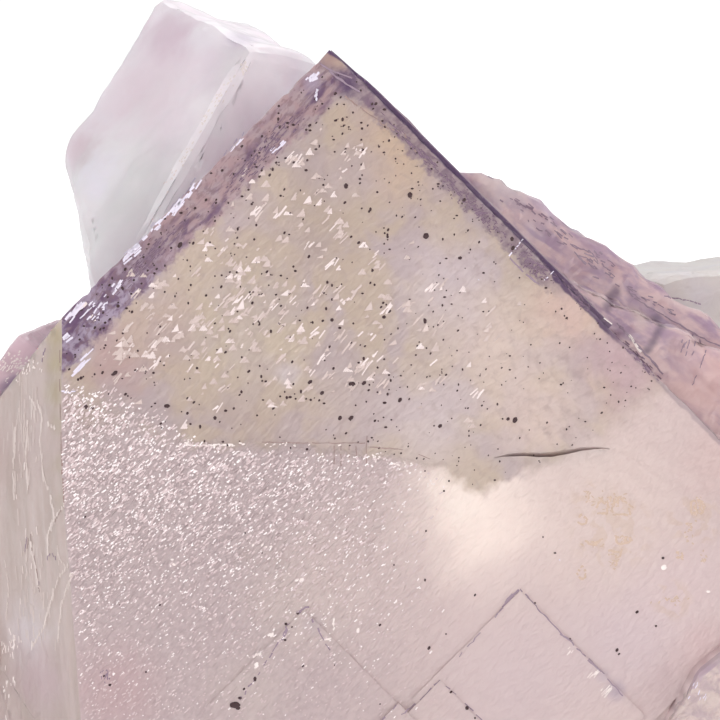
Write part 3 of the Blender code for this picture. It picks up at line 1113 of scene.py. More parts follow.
@dataclass
class Skin:
    """The whole group's surface, made fine and uneven over the plain solid."""

    # the etch marks are real facets whose pale colours are partly painted glints
    crystals: tuple[CornerCrystal, ...] = (
        CornerCrystal(
            Zone.LILAC, (4.4, 6.5, 28.2), (0.828, 0.0, -0.561), (0.0, 1.0, 0.0), (27, 29, 24)
        # painted glints: the frost glints are white and pale slivers that stand in for the sparkle
        # of the frosted zone
        ),
        CornerCrystal(
            Zone.LILAC, (11.6, 3.0, 18.6), (0.905, 0.0, -0.425), (0.0, 1.0, 0.0), (19, 22, 16)
        ),
        CornerCrystal(
            Zone.GREEN, (23.4, 18.0, 17.6), (0.93, 0.36, 0.10), (-0.35, 0.93, 0.05), (19, 20, 21)
        ),
        CornerCrystal(
            Zone.ROSE, (-21.3, 11.0, 13.5), (-0.63, 0.26, -0.78), (0.2, 0.96, 0.16), (15, 17, 18)
        ),
    )
    pale_low: Point = (-26.0, 18.0, 12.0)
    pale_high: Point = (4.0, 48.5, 50.0)
    plate_low: Point = (18.5, -1.2, -21.1)
    plate_high: Point = (31.6, 13.1, -1.4)
    crust_centre: Point = (30.0, -11.0, 8.0)
    crust_radii: Point = (8.5, 9.0, 10.0)
    crust_reach: float = 1.45
    crust_under: float = -0.3
    foot_depth: float = 0.25
    foot_at: Span = (-6.0, 2.0)
    terrace: float = 1.2
    proud: float = -0.7
    slack: float = 0.03
    share_slack: float = 0.005
    finest: float = 0.55
    passes: int = 9
    weld: float = 0.0005
    flat_deg: float = 0.4
    sharp_deg: float = 24.0
    still_base: float = 1.5
    left_wear: tuple[Point, float] = ((1.0, 1.0, -1.0), 0.28)
    right_wear: tuple[Point, float] = ((-1.0, 0.6, -1.0), 0.14)
    edge_length: dict[Zone, float] = field(
        default_factory=lambda: {
            Zone.MAIN: 1.3,
            Zone.BREAK: 0.8,
            Zone.PALE: 0.9,
            Zone.LILAC: 0.9,
            Zone.GREEN: 1.4,
            Zone.ROSE: 1.0,
            Zone.CRUST: 0.75,
            Zone.OUTER: 1.8,
        }
    )

    def __post_init__(self) -> None:
        """Prepares the test for each neighbouring crystal."""
        self.inside = [(crystal.zone, crystal.into()) for crystal in self.crystals]

    def zone_at(self, place: Vector) -> Zone:
        """Finds the part of the group that a place of its surface belongs to.

        Args:
            place: The place in the face frame.

        Returns:
            The zone.
        """
        right, behind, up = place
        to_right, to_left = (up + right) / ROOT_2, (up - right) / ROOT_2
        cleaved = over_break(place)
        slack, share_slack = self.slack, self.share_slack
        bare = max(abs(to_right), abs(to_left)) < HALF + slack and cleaved < slack
        if not (bare and -slack < behind < 2 * HALF + slack):
            for zone, into in self.inside:
                if all(-share_slack <= share <= 1 + share_slack for share in into @ place):
                    return zone
            if all(a <= b <= c for a, b, c in zip(self.pale_low, place, self.pale_high)):
                return Zone.PALE
        if not bare and self.on_crust(place):
            return Zone.CRUST
        if abs(cleaved) < self.foot_depth and up < self.foot_at[0] and behind > self.foot_at[1]:
            return Zone.BREAK
        inside = max(abs(to_right), abs(to_left)) < HALF + self.terrace
        if inside and cleaved < self.terrace and self.proud < behind < 2 * HALF + 0.3:
            return Zone.BREAK if cleaved > -0.04 else Zone.MAIN
        return Zone.OUTER

    def on_crust(self, place: Vector) -> bool:
        """Tells the crust from the other parts.

        Args:
            place: A place outside the large cube, in the face frame.

        Returns:
            Whether it lies on the crust.
        """
        if place.y > self.crust_under and place.x - place.z < (HALF + 0.9) * ROOT_2:
            return False
        if all(a <= b <= c for a, b, c in zip(self.plate_low, place, self.plate_high)):
            return True
        group = FACE @ place
        reach = sum(
            ((a - b) / c) ** 2 for a, b, c in zip(group, self.crust_centre, self.crust_radii)
        )
        return reach < self.crust_reach**2

    def on_front(self, place: Vector) -> bool:
        """Tells the front face from the other parts.

        Args:
            place: The place in the face frame.

        Returns:
            Whether it lies on the large cube's front face or on its terraces.
        """
        right, behind, up = place
        near = max(abs(up + right), abs(up - right)) / ROOT_2 < HALF + 0.5
        return near and self.proud < behind < 0.05

    def wanted_edge(self, place: Vector) -> float:
        """Decides how finely the skin is divided.

        Args:
            place: The place in the face frame.

        Returns:
            How long the skin's edges may be there.
        """
        if self.on_front(place):
            return self.finest
        return self.edge_length[self.zone_at(place)]

    def relief(self, place: Vector, zone: Zone) -> float:
        """Works out the surface's unevenness.

        Args:
            place: The place in the face frame.
            zone: The part of the group that it belongs to.

        Returns:
            How far the surface stands out there, in millimetres.
        """
        if zone is Zone.PALE:
            return 0.5 * noise.noise(place * 0.24) + 0.14 * noise.noise(place * 0.8)
        if zone is Zone.LILAC:
            lumps = noise.noise(place * 0.55) + 0.5 * noise.noise(place * 1.5)
            return 0.42 * lumps + 0.10 * noise.cell(place * 0.9)
        if zone is Zone.CRUST:
            return 0.30 * noise.noise(place * 0.8) + 0.16 * noise.noise(place * 2.2)
        if zone is Zone.BREAK:
            ribs = Vector((place.x * 1.6, place.y * 1.6, place.z * 0.22))
            return 0.11 * noise.noise(ribs) + 0.04 * noise.noise(ribs * 2.7)
        if zone is Zone.GREEN:
            return 0.5 * noise.noise(place * 0.3) + 0.12 * noise.noise(place * 1.2)
        if self.on_front(place):
            return 0.03 * noise.noise(place * 1.1) + 0.02 * noise.noise(place * 2.4)
        return 0.10 * noise.noise(place * 0.5) + 0.06 * noise.noise(place * 1.6)

    def chipping(self, place: Vector) -> Vector:
        """Wears the upper edges of the large cube.

        Args:
            place: The place in the face frame.

        Returns:
            How the place moves, in the face frame.
        """
        right, behind, up = place
        to_right, to_left = (up + right) / ROOT_2, (up - right) / ROOT_2
        if behind > 1.0 or max(to_right, to_left) < HALF - 0.1 or up < 5:
            return Vector((0.0, 0.0, 0.0))
        worn = max(0.0, noise.noise(place * 1.4) - 0.05) + 0.5 * max(0.0, noise.noise(place * 4.0))
        way, depth = self.left_wear if to_left > to_right else self.right_wear
        return Vector(way).normalized() * depth * worn

    def refine(self, bm: bmesh.types.BMesh) -> None:
        """Divides every edge that is longer than its place wants.

        Args:
            bm: The skin's mesh.
        """
        fresh = list(bm.edges)
        for turn in range(self.passes):
            long_edges = []
            for edge in fresh:
                middle = (edge.verts[0].co + edge.verts[1].co) / 2
                if edge.calc_length() > self.wanted_edge(middle):
                    long_edges.append(edge)
            if not long_edges:
                break
            LOG.info("refining pass %d: %d edges", turn, len(long_edges))
            cut = bmesh.ops.subdivide_edges(bm, edges=long_edges, cuts=1)
            fresh = {part for part in cut["geom"] if isinstance(part, bmesh.types.BMEdge)}
            many = [face for face in bm.faces if len(face.verts) > 3]
            fresh.update(bmesh.ops.triangulate(bm, faces=many)["edges"])

    def wear(self, bm: bmesh.types.BMesh, zones: dict[bmesh.types.BMVert, Zone]) -> None:
        """Moves the surface by its unevenness and wear, and leaves its base where it is.

        Args:
            bm: The skin's mesh.
            zones: The part of the group that each vertex belongs to.
        """
        lowest = FACE_INVERSE @ Vector((0.0, 0.0, 0.0))
        up = FACE_TURN.transposed() @ UP
        moves = []
        for vert in bm.verts:
            height = (vert.co - lowest).dot(up)
            share = min(1.0, max(0.0, height) / self.still_base)
            out = vert.normal * self.relief(vert.co, zones[vert])
            moves.append((vert, (out + self.chipping(vert.co)) * share))
        for vert, move in moves:
            vert.co += move

    def build(self, materials: dict[Zone, bpy.types.Material]) -> bpy.types.Object:
        """Builds the skin over the solid.

        Args:
            materials: A material for each zone.

        Returns:
            The skin's object.
        """
        bm = bmesh.new()
        bm.from_mesh(bpy.data.objects[NODE].data)
        bmesh.ops.scale(bm, verts=bm.verts, vec=(1 / MM,) * 3)
        bmesh.ops.transform(bm, matrix=FACE_INVERSE, verts=bm.verts)
        bmesh.ops.remove_doubles(bm, verts=bm.verts, dist=self.weld)
        bmesh.ops.dissolve_limit(
            bm, angle_limit=math.radians(self.flat_deg), verts=bm.verts, edges=bm.edges
        )
        bmesh.ops.triangulate(bm, faces=bm.faces)
        self.refine(bm)
        bm.normal_update()
        zones = {vert: self.zone_at(vert.co) for vert in bm.verts}
        for face in bm.faces:
            face.material_index = self.zone_at(face.calc_center_median()).value
            face.smooth = True
        for edge in bm.edges:
            if len(edge.link_faces) == 2 and edge.calc_face_angle() > math.radians(self.sharp_deg):
                edge.smooth = False
        self.wear(bm, zones)
        counts = {zone.name: 0 for zone in Zone}
        for face in bm.faces:
            counts[Zone(face.material_index).name] += 1
        LOG.info("faces by zone: %s", counts)
        return finish_piece("crystal_skin", bm, [materials[zone] for zone in Zone])


def finish_piece(
    name: str, bm: bmesh.types.BMesh, materials: list[bpy.types.Material]
) -> bpy.types.Object:
    """Turns a bmesh in the face frame into a piece that rides on the group.

    Args:
        name: The piece's name.
        bm: The mesh, in millimetres.
        materials: Its material slots.

    Returns:
        The piece's object.
    """
    bmesh.ops.transform(bm, matrix=FACE, verts=bm.verts)
    bmesh.ops.scale(bm, verts=bm.verts, vec=(MM, MM, MM))
    mesh = bpy.data.meshes.new(name)
    bm.to_mesh(mesh)
    bm.free()
    for material in materials:
        mesh.materials.append(material)
    piece = bpy.data.objects.new(name, mesh)
    bpy.context.scene.collection.objects.link(piece)
    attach(piece, "root")
    LOG.info("%s: %d faces", name, len(mesh.polygons))
    return piece


class Seat:
    """The finished skin, on which small marks are set where the camera sees them."""

    def __init__(self, skin: bpy.types.Object) -> None:
        """Reads the skin's surface into the face frame.

        Args:
            skin: The skin's object.
        """
        bm = bmesh.new()
        bm.from_mesh(skin.data)
        bmesh.ops.scale(bm, verts=bm.verts, vec=(1 / MM,) * 3)
        bmesh.ops.transform(bm, matrix=FACE_INVERSE, verts=bm.verts)
        self.surface = BVHTree.FromBMesh(bm)
        bm.free()

    def at(self, across: float, down: float, turn: float) -> Matrix | None:
        """Finds the seat of a mark.

        Args:
            across: Pixels from the frame's left edge.
            down: Pixels from its top edge.
            turn: How far the mark's length turns up from the right, in degrees.

        Returns:
            A matrix with x along the mark, z out of the stone and the skin at its origin, or
            None where nothing is seen.
        """
        ray = (FRAMING.seen(across, down) - FRAMING.eye).normalized()
        spot, out, _, _ = self.surface.ray_cast(FRAMING.eye, ray)
        if spot is None:
            return None
        if out.dot(ray) > 0:
            out = -out
        angle = math.radians(turn)
        along = Vector((math.cos(angle), 0.0, math.sin(angle)))
        along = (along - out * along.dot(out)).normalized()
        sideways = out.cross(along)
        axes = Matrix((along, sideways, out)).transposed().to_4x4()
        return Matrix.Translation(spot) @ axes


class Shape(Enum):
    """The shapes that small marks take."""

    SLIVER = "a narrow plate"
    FACET = "a right-angled triangle with a level foot"
    GRAIN = "a small lump"


PIXEL = FRAMING.width / FRAMING.pixels
RIGHT_ANGLED = Matrix(((0.577, 0.333, 0, 0), (0, 0.667, 0, 0), (0, 0, 1, 0), (0, 0, 0, 1)))


@dataclass
class Bed:
    """A mesh in the making: the skin that its marks sit on and the chance that spreads them."""

    seat: Seat
    chance: random.Random
    bm: bmesh.types.BMesh = field(default_factory=bmesh.new)

    def add(self, shape: Shape, place: Matrix, sizes: Point, tips: Span | None = None) -> None:
        """Adds one mark.

        Args:
            shape: The mark's shape.
            place: Its seat on the skin.
            sizes: Its length, width and height.
            tips: The least and most that it tips about its length, in radians.
        """
        if tips is not None:
            place = place @ Matrix.Rotation(self.chance.uniform(*tips), 4, "X")
        matrix = place @ Matrix.Diagonal((*sizes, 1.0))
        if shape is Shape.SLIVER:
            bmesh.ops.create_cube(self.bm, size=1.0, matrix=matrix)
        elif shape is Shape.GRAIN:
            bmesh.ops.create_icosphere(self.bm, subdivisions=1, radius=0.5, matrix=matrix)
        else:
            bmesh.ops.create_cone(
                self.bm, cap_ends=True, segments=3, radius1=1.0, radius2=0.85, depth=1.0,
                matrix=matrix @ RIGHT_ANGLED,
            )


@dataclass(frozen=True)
class Scatter:
    """Small marks spread at random over an oval of the frame. Sizes are in pixels."""

    across: float
    down: float
    wide: float
    tall: float
    count: int
    long: Span
    thick: Span
    turn: Span = (0.0, 360.0)
    slant: float = 0.0
    shape: Shape = Shape.GRAIN
    height: float = 0.06

    def places(self, chance: random.Random) -> Iterator[tuple[float, float]]:
        """Picks the marks' places.

        Args:
            chance: Where the random numbers come from.

        Yields:
            Pixels from the frame's left and top edges.
        """
        slant = math.radians(self.slant)
        for _ in range(self.count):
            x, y = chance.gauss(0.0, 0.5) * self.wide, chance.gauss(0.0, 0.5) * self.tall
            across = self.across + x * math.cos(slant) + y * math.sin(slant)
            yield across, self.down - x * math.sin(slant) + y * math.cos(slant)

    def add_to(self, bed: Bed) -> None:
        """Adds the marks.

        Args:
            bed: The bed to add to.
        """
        chance, end = bed.chance, FRAMING.pixels
        for across, down in self.places(chance):
            place = bed.seat.at(across, down, chance.uniform(*self.turn))
            if place is None or not 0 <= across <= end or not 0 <= down <= end:
                continue
            long, thick = chance.uniform(*self.long), chance.uniform(*self.thick)
            bed.add(self.shape, place, (long * PIXEL, thick * PIXEL, self.height))


@dataclass(frozen=True)
class Stroke:
    """A thin broken line through places of the frame. Its width is in pixels."""

    places: tuple[tuple[float, float], ...]
    width: float
    gaps: float = 0.0
    shake: float = 0.5
    height: float = 0.05
    piece: float = 4.0
    overlap: float = 0.02

    def add_to(self, bed: Bed) -> None:
        """Adds the line, as slivers end to end.

        Args:
            bed: The bed to add to.
        """
        last = self.places[0]
        for start, end in zip(self.places, self.places[1:]):
            count = max(1, round(math.dist(start, end) / self.piece))
            for i in range(1, count + 1):
                shake = 0.0 if i == count else self.shake
                spot = tuple(
                    a + (b - a) * (i / count) + (bed.chance.uniform(-shake, shake) if shake else 0)
                    for a, b in zip(start, end)
                )
                if bed.chance.random() >= self.gaps:
                    self.sliver(bed, last, spot)
                last = spot

    def sliver(self, bed: Bed, start: tuple[float, ...], end: tuple[float, ...]) -> None:
        """Adds the sliver between two places of the frame.

        Args:
            bed: The bed to add to.
            start: The first place.
            end: The second place.
        """
        turn = math.degrees(math.atan2(start[1] - end[1], end[0] - start[0]))
        place = bed.seat.at((start[0] + end[0]) / 2, (start[1] + end[1]) / 2, turn)
        if place is not None:
            long = math.dist(start, end) * PIXEL + self.overlap
            wide = self.width * PIXEL * bed.chance.uniform(0.55, 1.15)
            bed.add(Shape.SLIVER, place, (long, wide, self.height))


@dataclass
class MarkGroup:
    """One kind of small marks, built as one piece. The kinds differ in how they are spread."""

    name: str
    seed: int

    def build(self, seat: Seat, material: bpy.types.Material) -> bpy.types.Object:
        """Builds the marks.

        Args:
            seat: Where marks are set.
            material: Their finish.

        Returns:
            The piece's object.
        """
        bed = Bed(seat, random.Random(self.seed))
        self.spread(bed)
        return finish_piece(self.name, bed.bm, [material])

    def spread(self, bed: Bed) -> None:
        """Adds the marks to a bed."""
        raise NotImplementedError


@dataclass
class PlacedMarks(MarkGroup):
    """Marks at their places in the photo, as scatters and strokes."""

    marks: tuple[Scatter | Stroke, ...]

    def spread(self, bed: Bed) -> None:
        """Adds the marks to a bed."""
        for mark in self.marks:
            mark.add_to(bed)


@dataclass
class Inclusions(MarkGroup):
    """Dark grains in the clear zone: hundreds of small ones and some that stand out."""

    tries: int = 2700
    small: Span = (1.2, 3.4)
    field_across: Span = (60, 720)
    field_down: Span = (50, 500)
    rim: float = 0.2
    edge_band: float = 3.0
    share_by_edge: float = 0.95
    share_inside: float = 0.55
    right_from: float = 8.0
    right_share: float = 0.65
    finer: float = 0.75
    finer_under: float = 3.5
    finer_across: Span = (395, 650)
    finer_above: float = 480
    turns: tuple[float, ...] = (0.0, 40.0, 60.0, 90.0)
    large: tuple[tuple[int, int, float], ...] = (
        (426, 236, 7.5),
        (410, 195, 6.5),
        (346, 186, 5.5),
        (352, 384, 6.0),
        (364, 383, 4.5),
        (332, 320, 4.5),
        (384, 317, 4.5),
        (425, 321, 4.5),
        (322, 393, 4.5),
        (400, 400, 4.5),
        (167, 406, 5.0),
        (310, 382, 4.5),
        (215, 418, 4.5),
        (340, 418, 4.8),
        (351, 418, 4.8),
        (515, 420, 6.0),
        (508, 419, 4.0),
        (440, 426, 4.5),
        (180, 245, 5.5),
        (118, 306, 4.5),
        (115, 373, 5.0),
        (86, 407, 5.0),
        (92, 408, 4.0),
        (464, 200, 4.5),
        (512, 239, 4.5),
        (513, 248, 4.5),
        (460, 258, 4.2),
        (235, 705, 8.5),
        (238, 708, 5.0),
        (255, 679, 4.2),
        (244, 689, 2.8),
        (467, 708, 4.8),
        (475, 718, 2.6),
        (451, 692, 2.8),
        (240, 698, 3.8),
        (380, 625, 2.8),
        (429, 648, 3.6),
        (446, 634, 2.4),
        (303, 666, 2.4),
        (335, 665, 2.0),
        (380, 704, 2.2),
        (394, 565, 2.4),
        (286, 624, 3.8),
        (292, 627, 2.2),
        (81, 378, 4.0),
        (663, 558, 3.4),
        (637, 612, 3.6),
        (656, 626, 2.8),
        (617, 650, 3.8),
        (619, 654, 2.4),
        (543, 537, 2.0),
        (555, 553, 2.4),
        (570, 639, 2.8),
        (475, 595, 2.6),
        (426, 531, 2.4),
        (425, 580, 2.6),
        (535, 603, 2.6),
        (85, 517, 2.4),
        (120, 605, 2.2),
        (160, 605, 2.2),
        (104, 676, 2.4),
        (110, 685, 3.2),
        (146, 672, 2.4),
        (298, 613, 3.8),
        (285, 640, 2.8),
        (245, 533, 2.2),
        (262, 553, 2.2),
        (444, 491, 2.8),
        (425, 471, 2.6),
        (449, 481, 2.6),
        (498, 449, 2.2),
    )

    def shown(self, across: float, down: float, chance: random.Random) -> bool:
        """Tells whether a small grain is kept: there are many in the clear zone only.

        Args:
            across: Pixels from the frame's left edge.
            down: Pixels from its top edge.
            chance: Where the random numbers come from.

        Returns:
            Whether it is kept.
        """
        place = FRAMING.seen(across, down)
        edge = HALF - (place.z + abs(place.x)) / ROOT_2
        above = place.z - BOUNDARY.height(place.x)
        if edge < self.rim or above < 0.0 or over_break(place) > -0.1:
            return False
        share = self.share_by_edge if edge < self.edge_band else self.share_inside
        return chance.random() < (share * self.right_share if place.x > self.right_from else share)

    def spread(self, bed: Bed) -> None:
        """Adds the large grains, and then the small ones.

        Args:
            bed: The bed to add to.
        """
        chance = bed.chance
        spots = list(self.large)
        for _ in range(self.tries):
            across, down = chance.uniform(*self.field_across), chance.uniform(*self.field_down)
            if self.shown(across, down, chance):
                spots.append((across, down, chance.uniform(*self.small)))
        for across, down, size in spots:
            low, high = self.finer_across
            if size < self.finer_under and low < across < high and down < self.finer_above:
                size *= self.finer
            place = bed.seat.at(across, down, chance.choice(self.turns))
            if place is not None:
                long = size * chance.uniform(0.9, 1.5) * PIXEL
                bed.add(Shape.GRAIN, place, (long, size * PIXEL * 0.9, size * PIXEL * 0.4))


@dataclass
class EtchMarks(MarkGroup):
    """Etch marks: small right-angled facets, with scratches that run up to the right, whose pale
    colour is partly a painted glint.
    """

    share: float = 1.0
    facets: float = 0.30
    ribbed_facets: float = 0.36
    facet_widths: tuple[float, ...] = (3.0, 4.0, 5.0, 6.5, 8.5)
    facet_tips: Span = (-0.25, 0.05)
    rib_counts: tuple[int, ...] = (3, 4, 5, 6)
    rib_gap: float = 1.7
    rib_width: float = 1.3
    scratch_counts: tuple[int, ...] = (1, 1, 2, 3, 4, 5)
    scratch_lengths: tuple[float, ...] = (3.0, 4.5, 6.0, 9.0, 12.0)
    tips: Span = (-0.6, 0.0)
    clusters: tuple[tuple[int, int, int, int], ...] = (
        (270, 290, 26, 9),
        (222, 315, 26, 12),
        (180, 330, 22, 8),
        (330, 240, 22, 5),
        (290, 230, 26, 5),
        (240, 260, 26, 7),
        (210, 250, 18, 5),
        (150, 350, 24, 7),
        (120, 365, 20, 5),
        (190, 370, 28, 8),
        (250, 350, 30, 9),
        (300, 330, 30, 8),
        (350, 300, 26, 6),
        (320, 200, 20, 4),
        (350, 150, 14, 4),
        (300, 160, 20, 4),
        (250, 200, 20, 4),
        (380, 250, 24, 3),
        (400, 330, 30, 5),
        (360, 370, 26, 7),
        (290, 380, 30, 5),
        (440, 390, 30, 4),
        (420, 290, 26, 3),
        (480, 320, 40, 3),
        (150, 300, 20, 5),
        (110, 330, 20, 4),
    )

    def spread(self, bed: Bed) -> None:
        """Adds the facets and scratches of every cluster.

        Args:
            bed: The bed to add to.
        """
        chance = bed.chance
        for across, down, spread, count in self.clusters:
            for _ in range(round(count * self.share)):
                x, y = chance.gauss(across, spread * 0.7), chance.gauss(down, spread * 0.7)
                kind = chance.random()
                if kind < self.facets:
                    self.facet(bed, x, y)
                elif kind < self.facets + self.ribbed_facets:
                    self.ribbed_facet(bed, x, y)
                else:
                    self.scratches(bed, x, y)

    def facet(self, bed: Bed, across: float, down: float) -> None:
        """Adds one facet.

        Args:
            bed: The bed to add to.
            across: Pixels from the frame's left edge.
            down: Pixels from its top edge.
        """
        chance = bed.chance
        place = bed.seat.at(across, down, chance.uniform(-10, 16))
        if place is not None:
            wide = chance.choice(self.facet_widths) * chance.uniform(0.85, 1.15) * PIXEL
            tall = wide * chance.uniform(0.5, 1.35)
            bed.add(Shape.FACET, place, (wide, tall, 0.07), self.facet_tips)

    def ribbed_facet(self, bed: Bed, across: float, down: float) -> None:
        """Adds a facet made of slivers that rise side by side from a level foot.

        Args:
            bed: The bed to add to.
            across: Pixels from the frame's left edge to the foot's left end.
            down: Pixels from its top edge.
        """
        chance = bed.chance
        ribs = chance.choice(self.rib_counts)
        longest = chance.uniform(5.0, 11.0)
        slope = math.radians(chance.uniform(46, 58))
        for i in range(ribs):
            long = longest * (1.0 - i / ribs) * chance.uniform(0.75, 1.1)
            x = across + self.rib_gap * i + math.cos(slope) * long / 2
            y = down - math.sin(slope) * long / 2
            place = bed.seat.at(x, y, math.degrees(slope))
            if place is not None:
                sizes = (long * PIXEL, self.rib_width * PIXEL, 0.05)
                bed.add(Shape.SLIVER, place, sizes, self.tips)

    def scratches(self, bed: Bed, across: float, down: float) -> None:
        """Adds a few narrow slivers side by side.

        Args:
            bed: The bed to add to.
            across: Pixels from the frame's left edge to the first one.
            down: Pixels from its top edge.
        """
        chance = bed.chance
        for i in range(chance.choice(self.scratch_counts)):
            turn = chance.uniform(40, 60)
            x, y = across + chance.uniform(1.2, 2.6) * i, down + chance.uniform(-2.4, 3.2)
            place = bed.seat.at(x, y, turn)
            if place is not None:
                long = chance.choice(self.scratch_lengths) * chance.uniform(0.8, 1.2)
                thick = chance.uniform(0.8, 2.1)
                bed.add(Shape.SLIVER, place, (long * PIXEL, thick * PIXEL, 0.05), self.tips)


FRESH_CHIPS: tuple[Scatter | Stroke, ...] = (
    # worn upper left edge
    Scatter(133, 250, 15, 3, 30, (5, 12), (1.2, 2.8), (40, 56), 50, Shape.SLIVER),
    Scatter(75, 312, 9, 3, 18, (4, 10), (1.2, 2.6), (38, 56), 48, Shape.SLIVER),
    Scatter(68, 338, 3, 4, 8, (4, 8), (1.2, 2.4), (30, 60), 60, Shape.SLIVER),
    Scatter(119, 285, 8, 3, 9, (3, 7), (1.0, 2.0), (40, 60), 45, Shape.SLIVER),
    Scatter(102, 308, 13, 4, 6, (2.5, 4.5), (2.5, 4.5), (-8, 10), 45, Shape.FACET),
    Scatter(92, 310, 18, 7, 16, (3, 7), (0.8, 1.8), (40, 60), 45, Shape.SLIVER),
    Scatter(68, 392, 9, 1.2, 8, (2, 5), (0.8, 1.4), (-4, 4), 0, Shape.SLIVER),
    Scatter(86, 360, 12, 3, 9, (6, 14), (1, 3), (40, 52), 45, Shape.SLIVER),
    Scatter(182, 200, 19, 4, 34, (5, 12), (1.0, 2.4), (42, 60), 50, Shape.SLIVER),
    Scatter(158, 224, 9, 3, 12, (3, 8), (1.0, 2.2), (40, 60), 48, Shape.SLIVER),
    Scatter(240, 140, 26, 3, 12, (3, 8), (0.8, 1.8), (42, 60), 46, Shape.SLIVER),
    Scatter(314, 76, 8, 4, 16, (3, 7), (1.0, 2.4), (20, 60), 35, Shape.SLIVER),
    Scatter(316, 94, 2, 9, 9, (2, 6), (1, 2), (60, 100), 0, Shape.SLIVER),
    Scatter(280, 145, 9, 4, 6, (5, 9), (1, 2), (40, 50), 40, Shape.SLIVER),
    # right side of the lower zone
    Scatter(702, 690, 12, 18, 10, (3, 7), (0.8, 1.6), (50, 80), 0),
    Scatter(560, 560, 1, 1, 1, (2, 3), (1, 2)),
    Scatter(478, 280, 1, 1, 1, (2, 3), (1, 2)),
    # stepped patch by the upper right edge
    Stroke(((509, 256), (515, 249), (523, 239)), 1.6, 0.1, 0.4),
    Stroke(((540, 283), (548, 277), (556, 268)), 1.2, 0.3, 0.4),
)
WISPS: tuple[Scatter | Stroke, ...] = (
    # bright dashes along the zone boundary
    Scatter(214, 445, 34, 1.5, 26, (1.5, 5), (0.9, 1.8), (-6, 10), 2, Shape.SLIVER),
    Scatter(188, 444, 3, 4, 7, (2, 4), (1, 2), (-20, 60), 0, Shape.SLIVER),
    Scatter(290, 445, 40, 3, 14, (1.5, 3), (0.8, 1.4), (-6, 40), 0, Shape.SLIVER),
    Scatter(375, 458, 5, 8, 14, (1.5, 3), (1.4, 2.6)),
    Scatter(395, 464, 14, 2, 9, (1.5, 4), (1.4, 2.4), (-5, 5), 0),
    Scatter(425, 478, 22, 6, 12, (1.5, 3), (1.2, 2.2), (0, 360), -30),
    Scatter(150, 418, 22, 12, 16, (1.2, 2.6), (1.0, 1.8)),
    # painted sparkles of the rose crystal
    Scatter(18, 366, 20, 14, 90, (1.2, 4.0), (0.8, 1.6), (25, 60), 10, Shape.SLIVER),
    # ridge of the pale block
    Scatter(244, 70, 3, 8, 9, (3, 9), (2, 4), (60, 110), 0),
    Scatter(215, 105, 34, 5, 34, (2, 6), (1, 3), (40, 70), 58),
    Scatter(180, 165, 30, 5, 24, (2, 5), (1, 2.5), (40, 70), 60),
    Scatter(12, 645, 12, 12, 26, (2, 8), (0.6, 1.4), (20, 120), 0, Shape.SLIVER),
    Scatter(28, 520, 13, 80, 12, (4, 10), (0.6, 1.0), (80, 98), 0, Shape.SLIVER),
    Scatter(8, 690, 8, 22, 16, (3, 9), (1, 2.5), (60, 120), 0),
    Scatter(594, 674, 5, 4, 7, (3, 9), (0.5, 0.9), (46, 56), 0, Shape.SLIVER),
    Scatter(606, 692, 6, 5, 11, (3, 11), (0.5, 1.0), (46, 56), 0, Shape.SLIVER),
    Scatter(570, 652, 3, 3, 4, (3, 6), (0.6, 1.0), (40, 60), 0, Shape.SLIVER),
    Scatter(664, 568, 1, 1, 3, (5, 7), (5, 6)),
    Scatter(709, 592, 1, 1, 1, (4, 5), (2.5, 3.5)),
    # small chips of the frosted zone
    Scatter(173, 564, 3, 5, 3, (3, 5), (2, 3)),
    Scatter(186, 580, 1, 1, 1, (3, 5), (2, 3)),
    Scatter(210, 619, 1, 1, 1, (3, 5), (2, 3)),
    Scatter(258, 546, 12, 2, 4, (3, 5), (2, 3), (20, 60)),
    Scatter(301, 580, 3, 3, 6, (4, 6), (2.5, 4), (20, 60)),
    Scatter(270, 634, 3, 2, 4, (3, 6), (2, 3), (20, 60)),
    Scatter(259, 655, 5, 2, 5, (3, 6), (2, 3), (20, 60)),
    Scatter(256, 666, 4, 3, 5, (3, 6), (2.5, 4), (20, 60)),
    Scatter(334, 626, 1, 6, 5, (3, 6), (1.5, 2.5), (60, 100)),
    Scatter(328, 639, 5, 1, 5, (3, 6), (1.5, 2.5), (0, 30)),
    Scatter(358, 631, 1, 3, 3, (3, 5), (1.5, 2.5), (60, 100)),
    Scatter(320, 600, 60, 50, 40, (1.5, 3.5), (1, 2), (20, 60)),
    Stroke(((629, 335), (634, 342), (641, 352)), 2.6, 0.0, 0.4),
    Stroke(((604, 318), (612, 324)), 1.6, 0.2, 0.4),
)
BREAK_WISPS: tuple[Stroke, ...] = (
    Stroke(((29, 396), (33, 402), (37, 410)), 2.0, 0.0, 0.3),
    Stroke(((37, 400), (42, 417), (40, 443), (43, 473), (48, 490)), 1.5, 0.08, 0.4),
    Stroke(((19, 408), (15, 438), (13, 473), (14, 500)), 1.2, 0.2, 0.4),
    Stroke(((28, 420), (26, 455), (28, 490)), 1.1, 0.25, 0.4),
    Stroke(((51, 495), (54, 516), (48, 534), (48, 555)), 1.8, 0.05, 0.4),
    Stroke(((65, 503), (56, 516), (52, 526)), 1.4, 0.05, 0.4),
    Stroke(((30, 538), (31, 547)), 2.2, 0.0, 0.5),
    Stroke(((31, 547), (35, 564), (39, 590)), 1.6, 0.12, 0.5),
    Stroke(((69, 564), (59, 577), (50, 604), (43, 629), (32, 646)), 1.6, 0.06, 0.4),
    Stroke(((71, 573), (61, 607), (58, 642)), 1.3, 0.12, 0.4),
    Stroke(((57, 545), (60, 560), (66, 566)), 0.9, 0.1, 0.4),
    Stroke(((47, 422), (50, 426), (56, 429)), 1.8, 0.1, 0.4),
    Stroke(((5, 560), (9, 590), (6, 620)), 0.8, 0.3, 0.5),
)
SOFT_WISPS = tuple(
    replace(wisp, width=wisp.width * 2.4, gaps=0.25, shake=1.5, height=0.03)
    for wisp in BREAK_WISPS
)
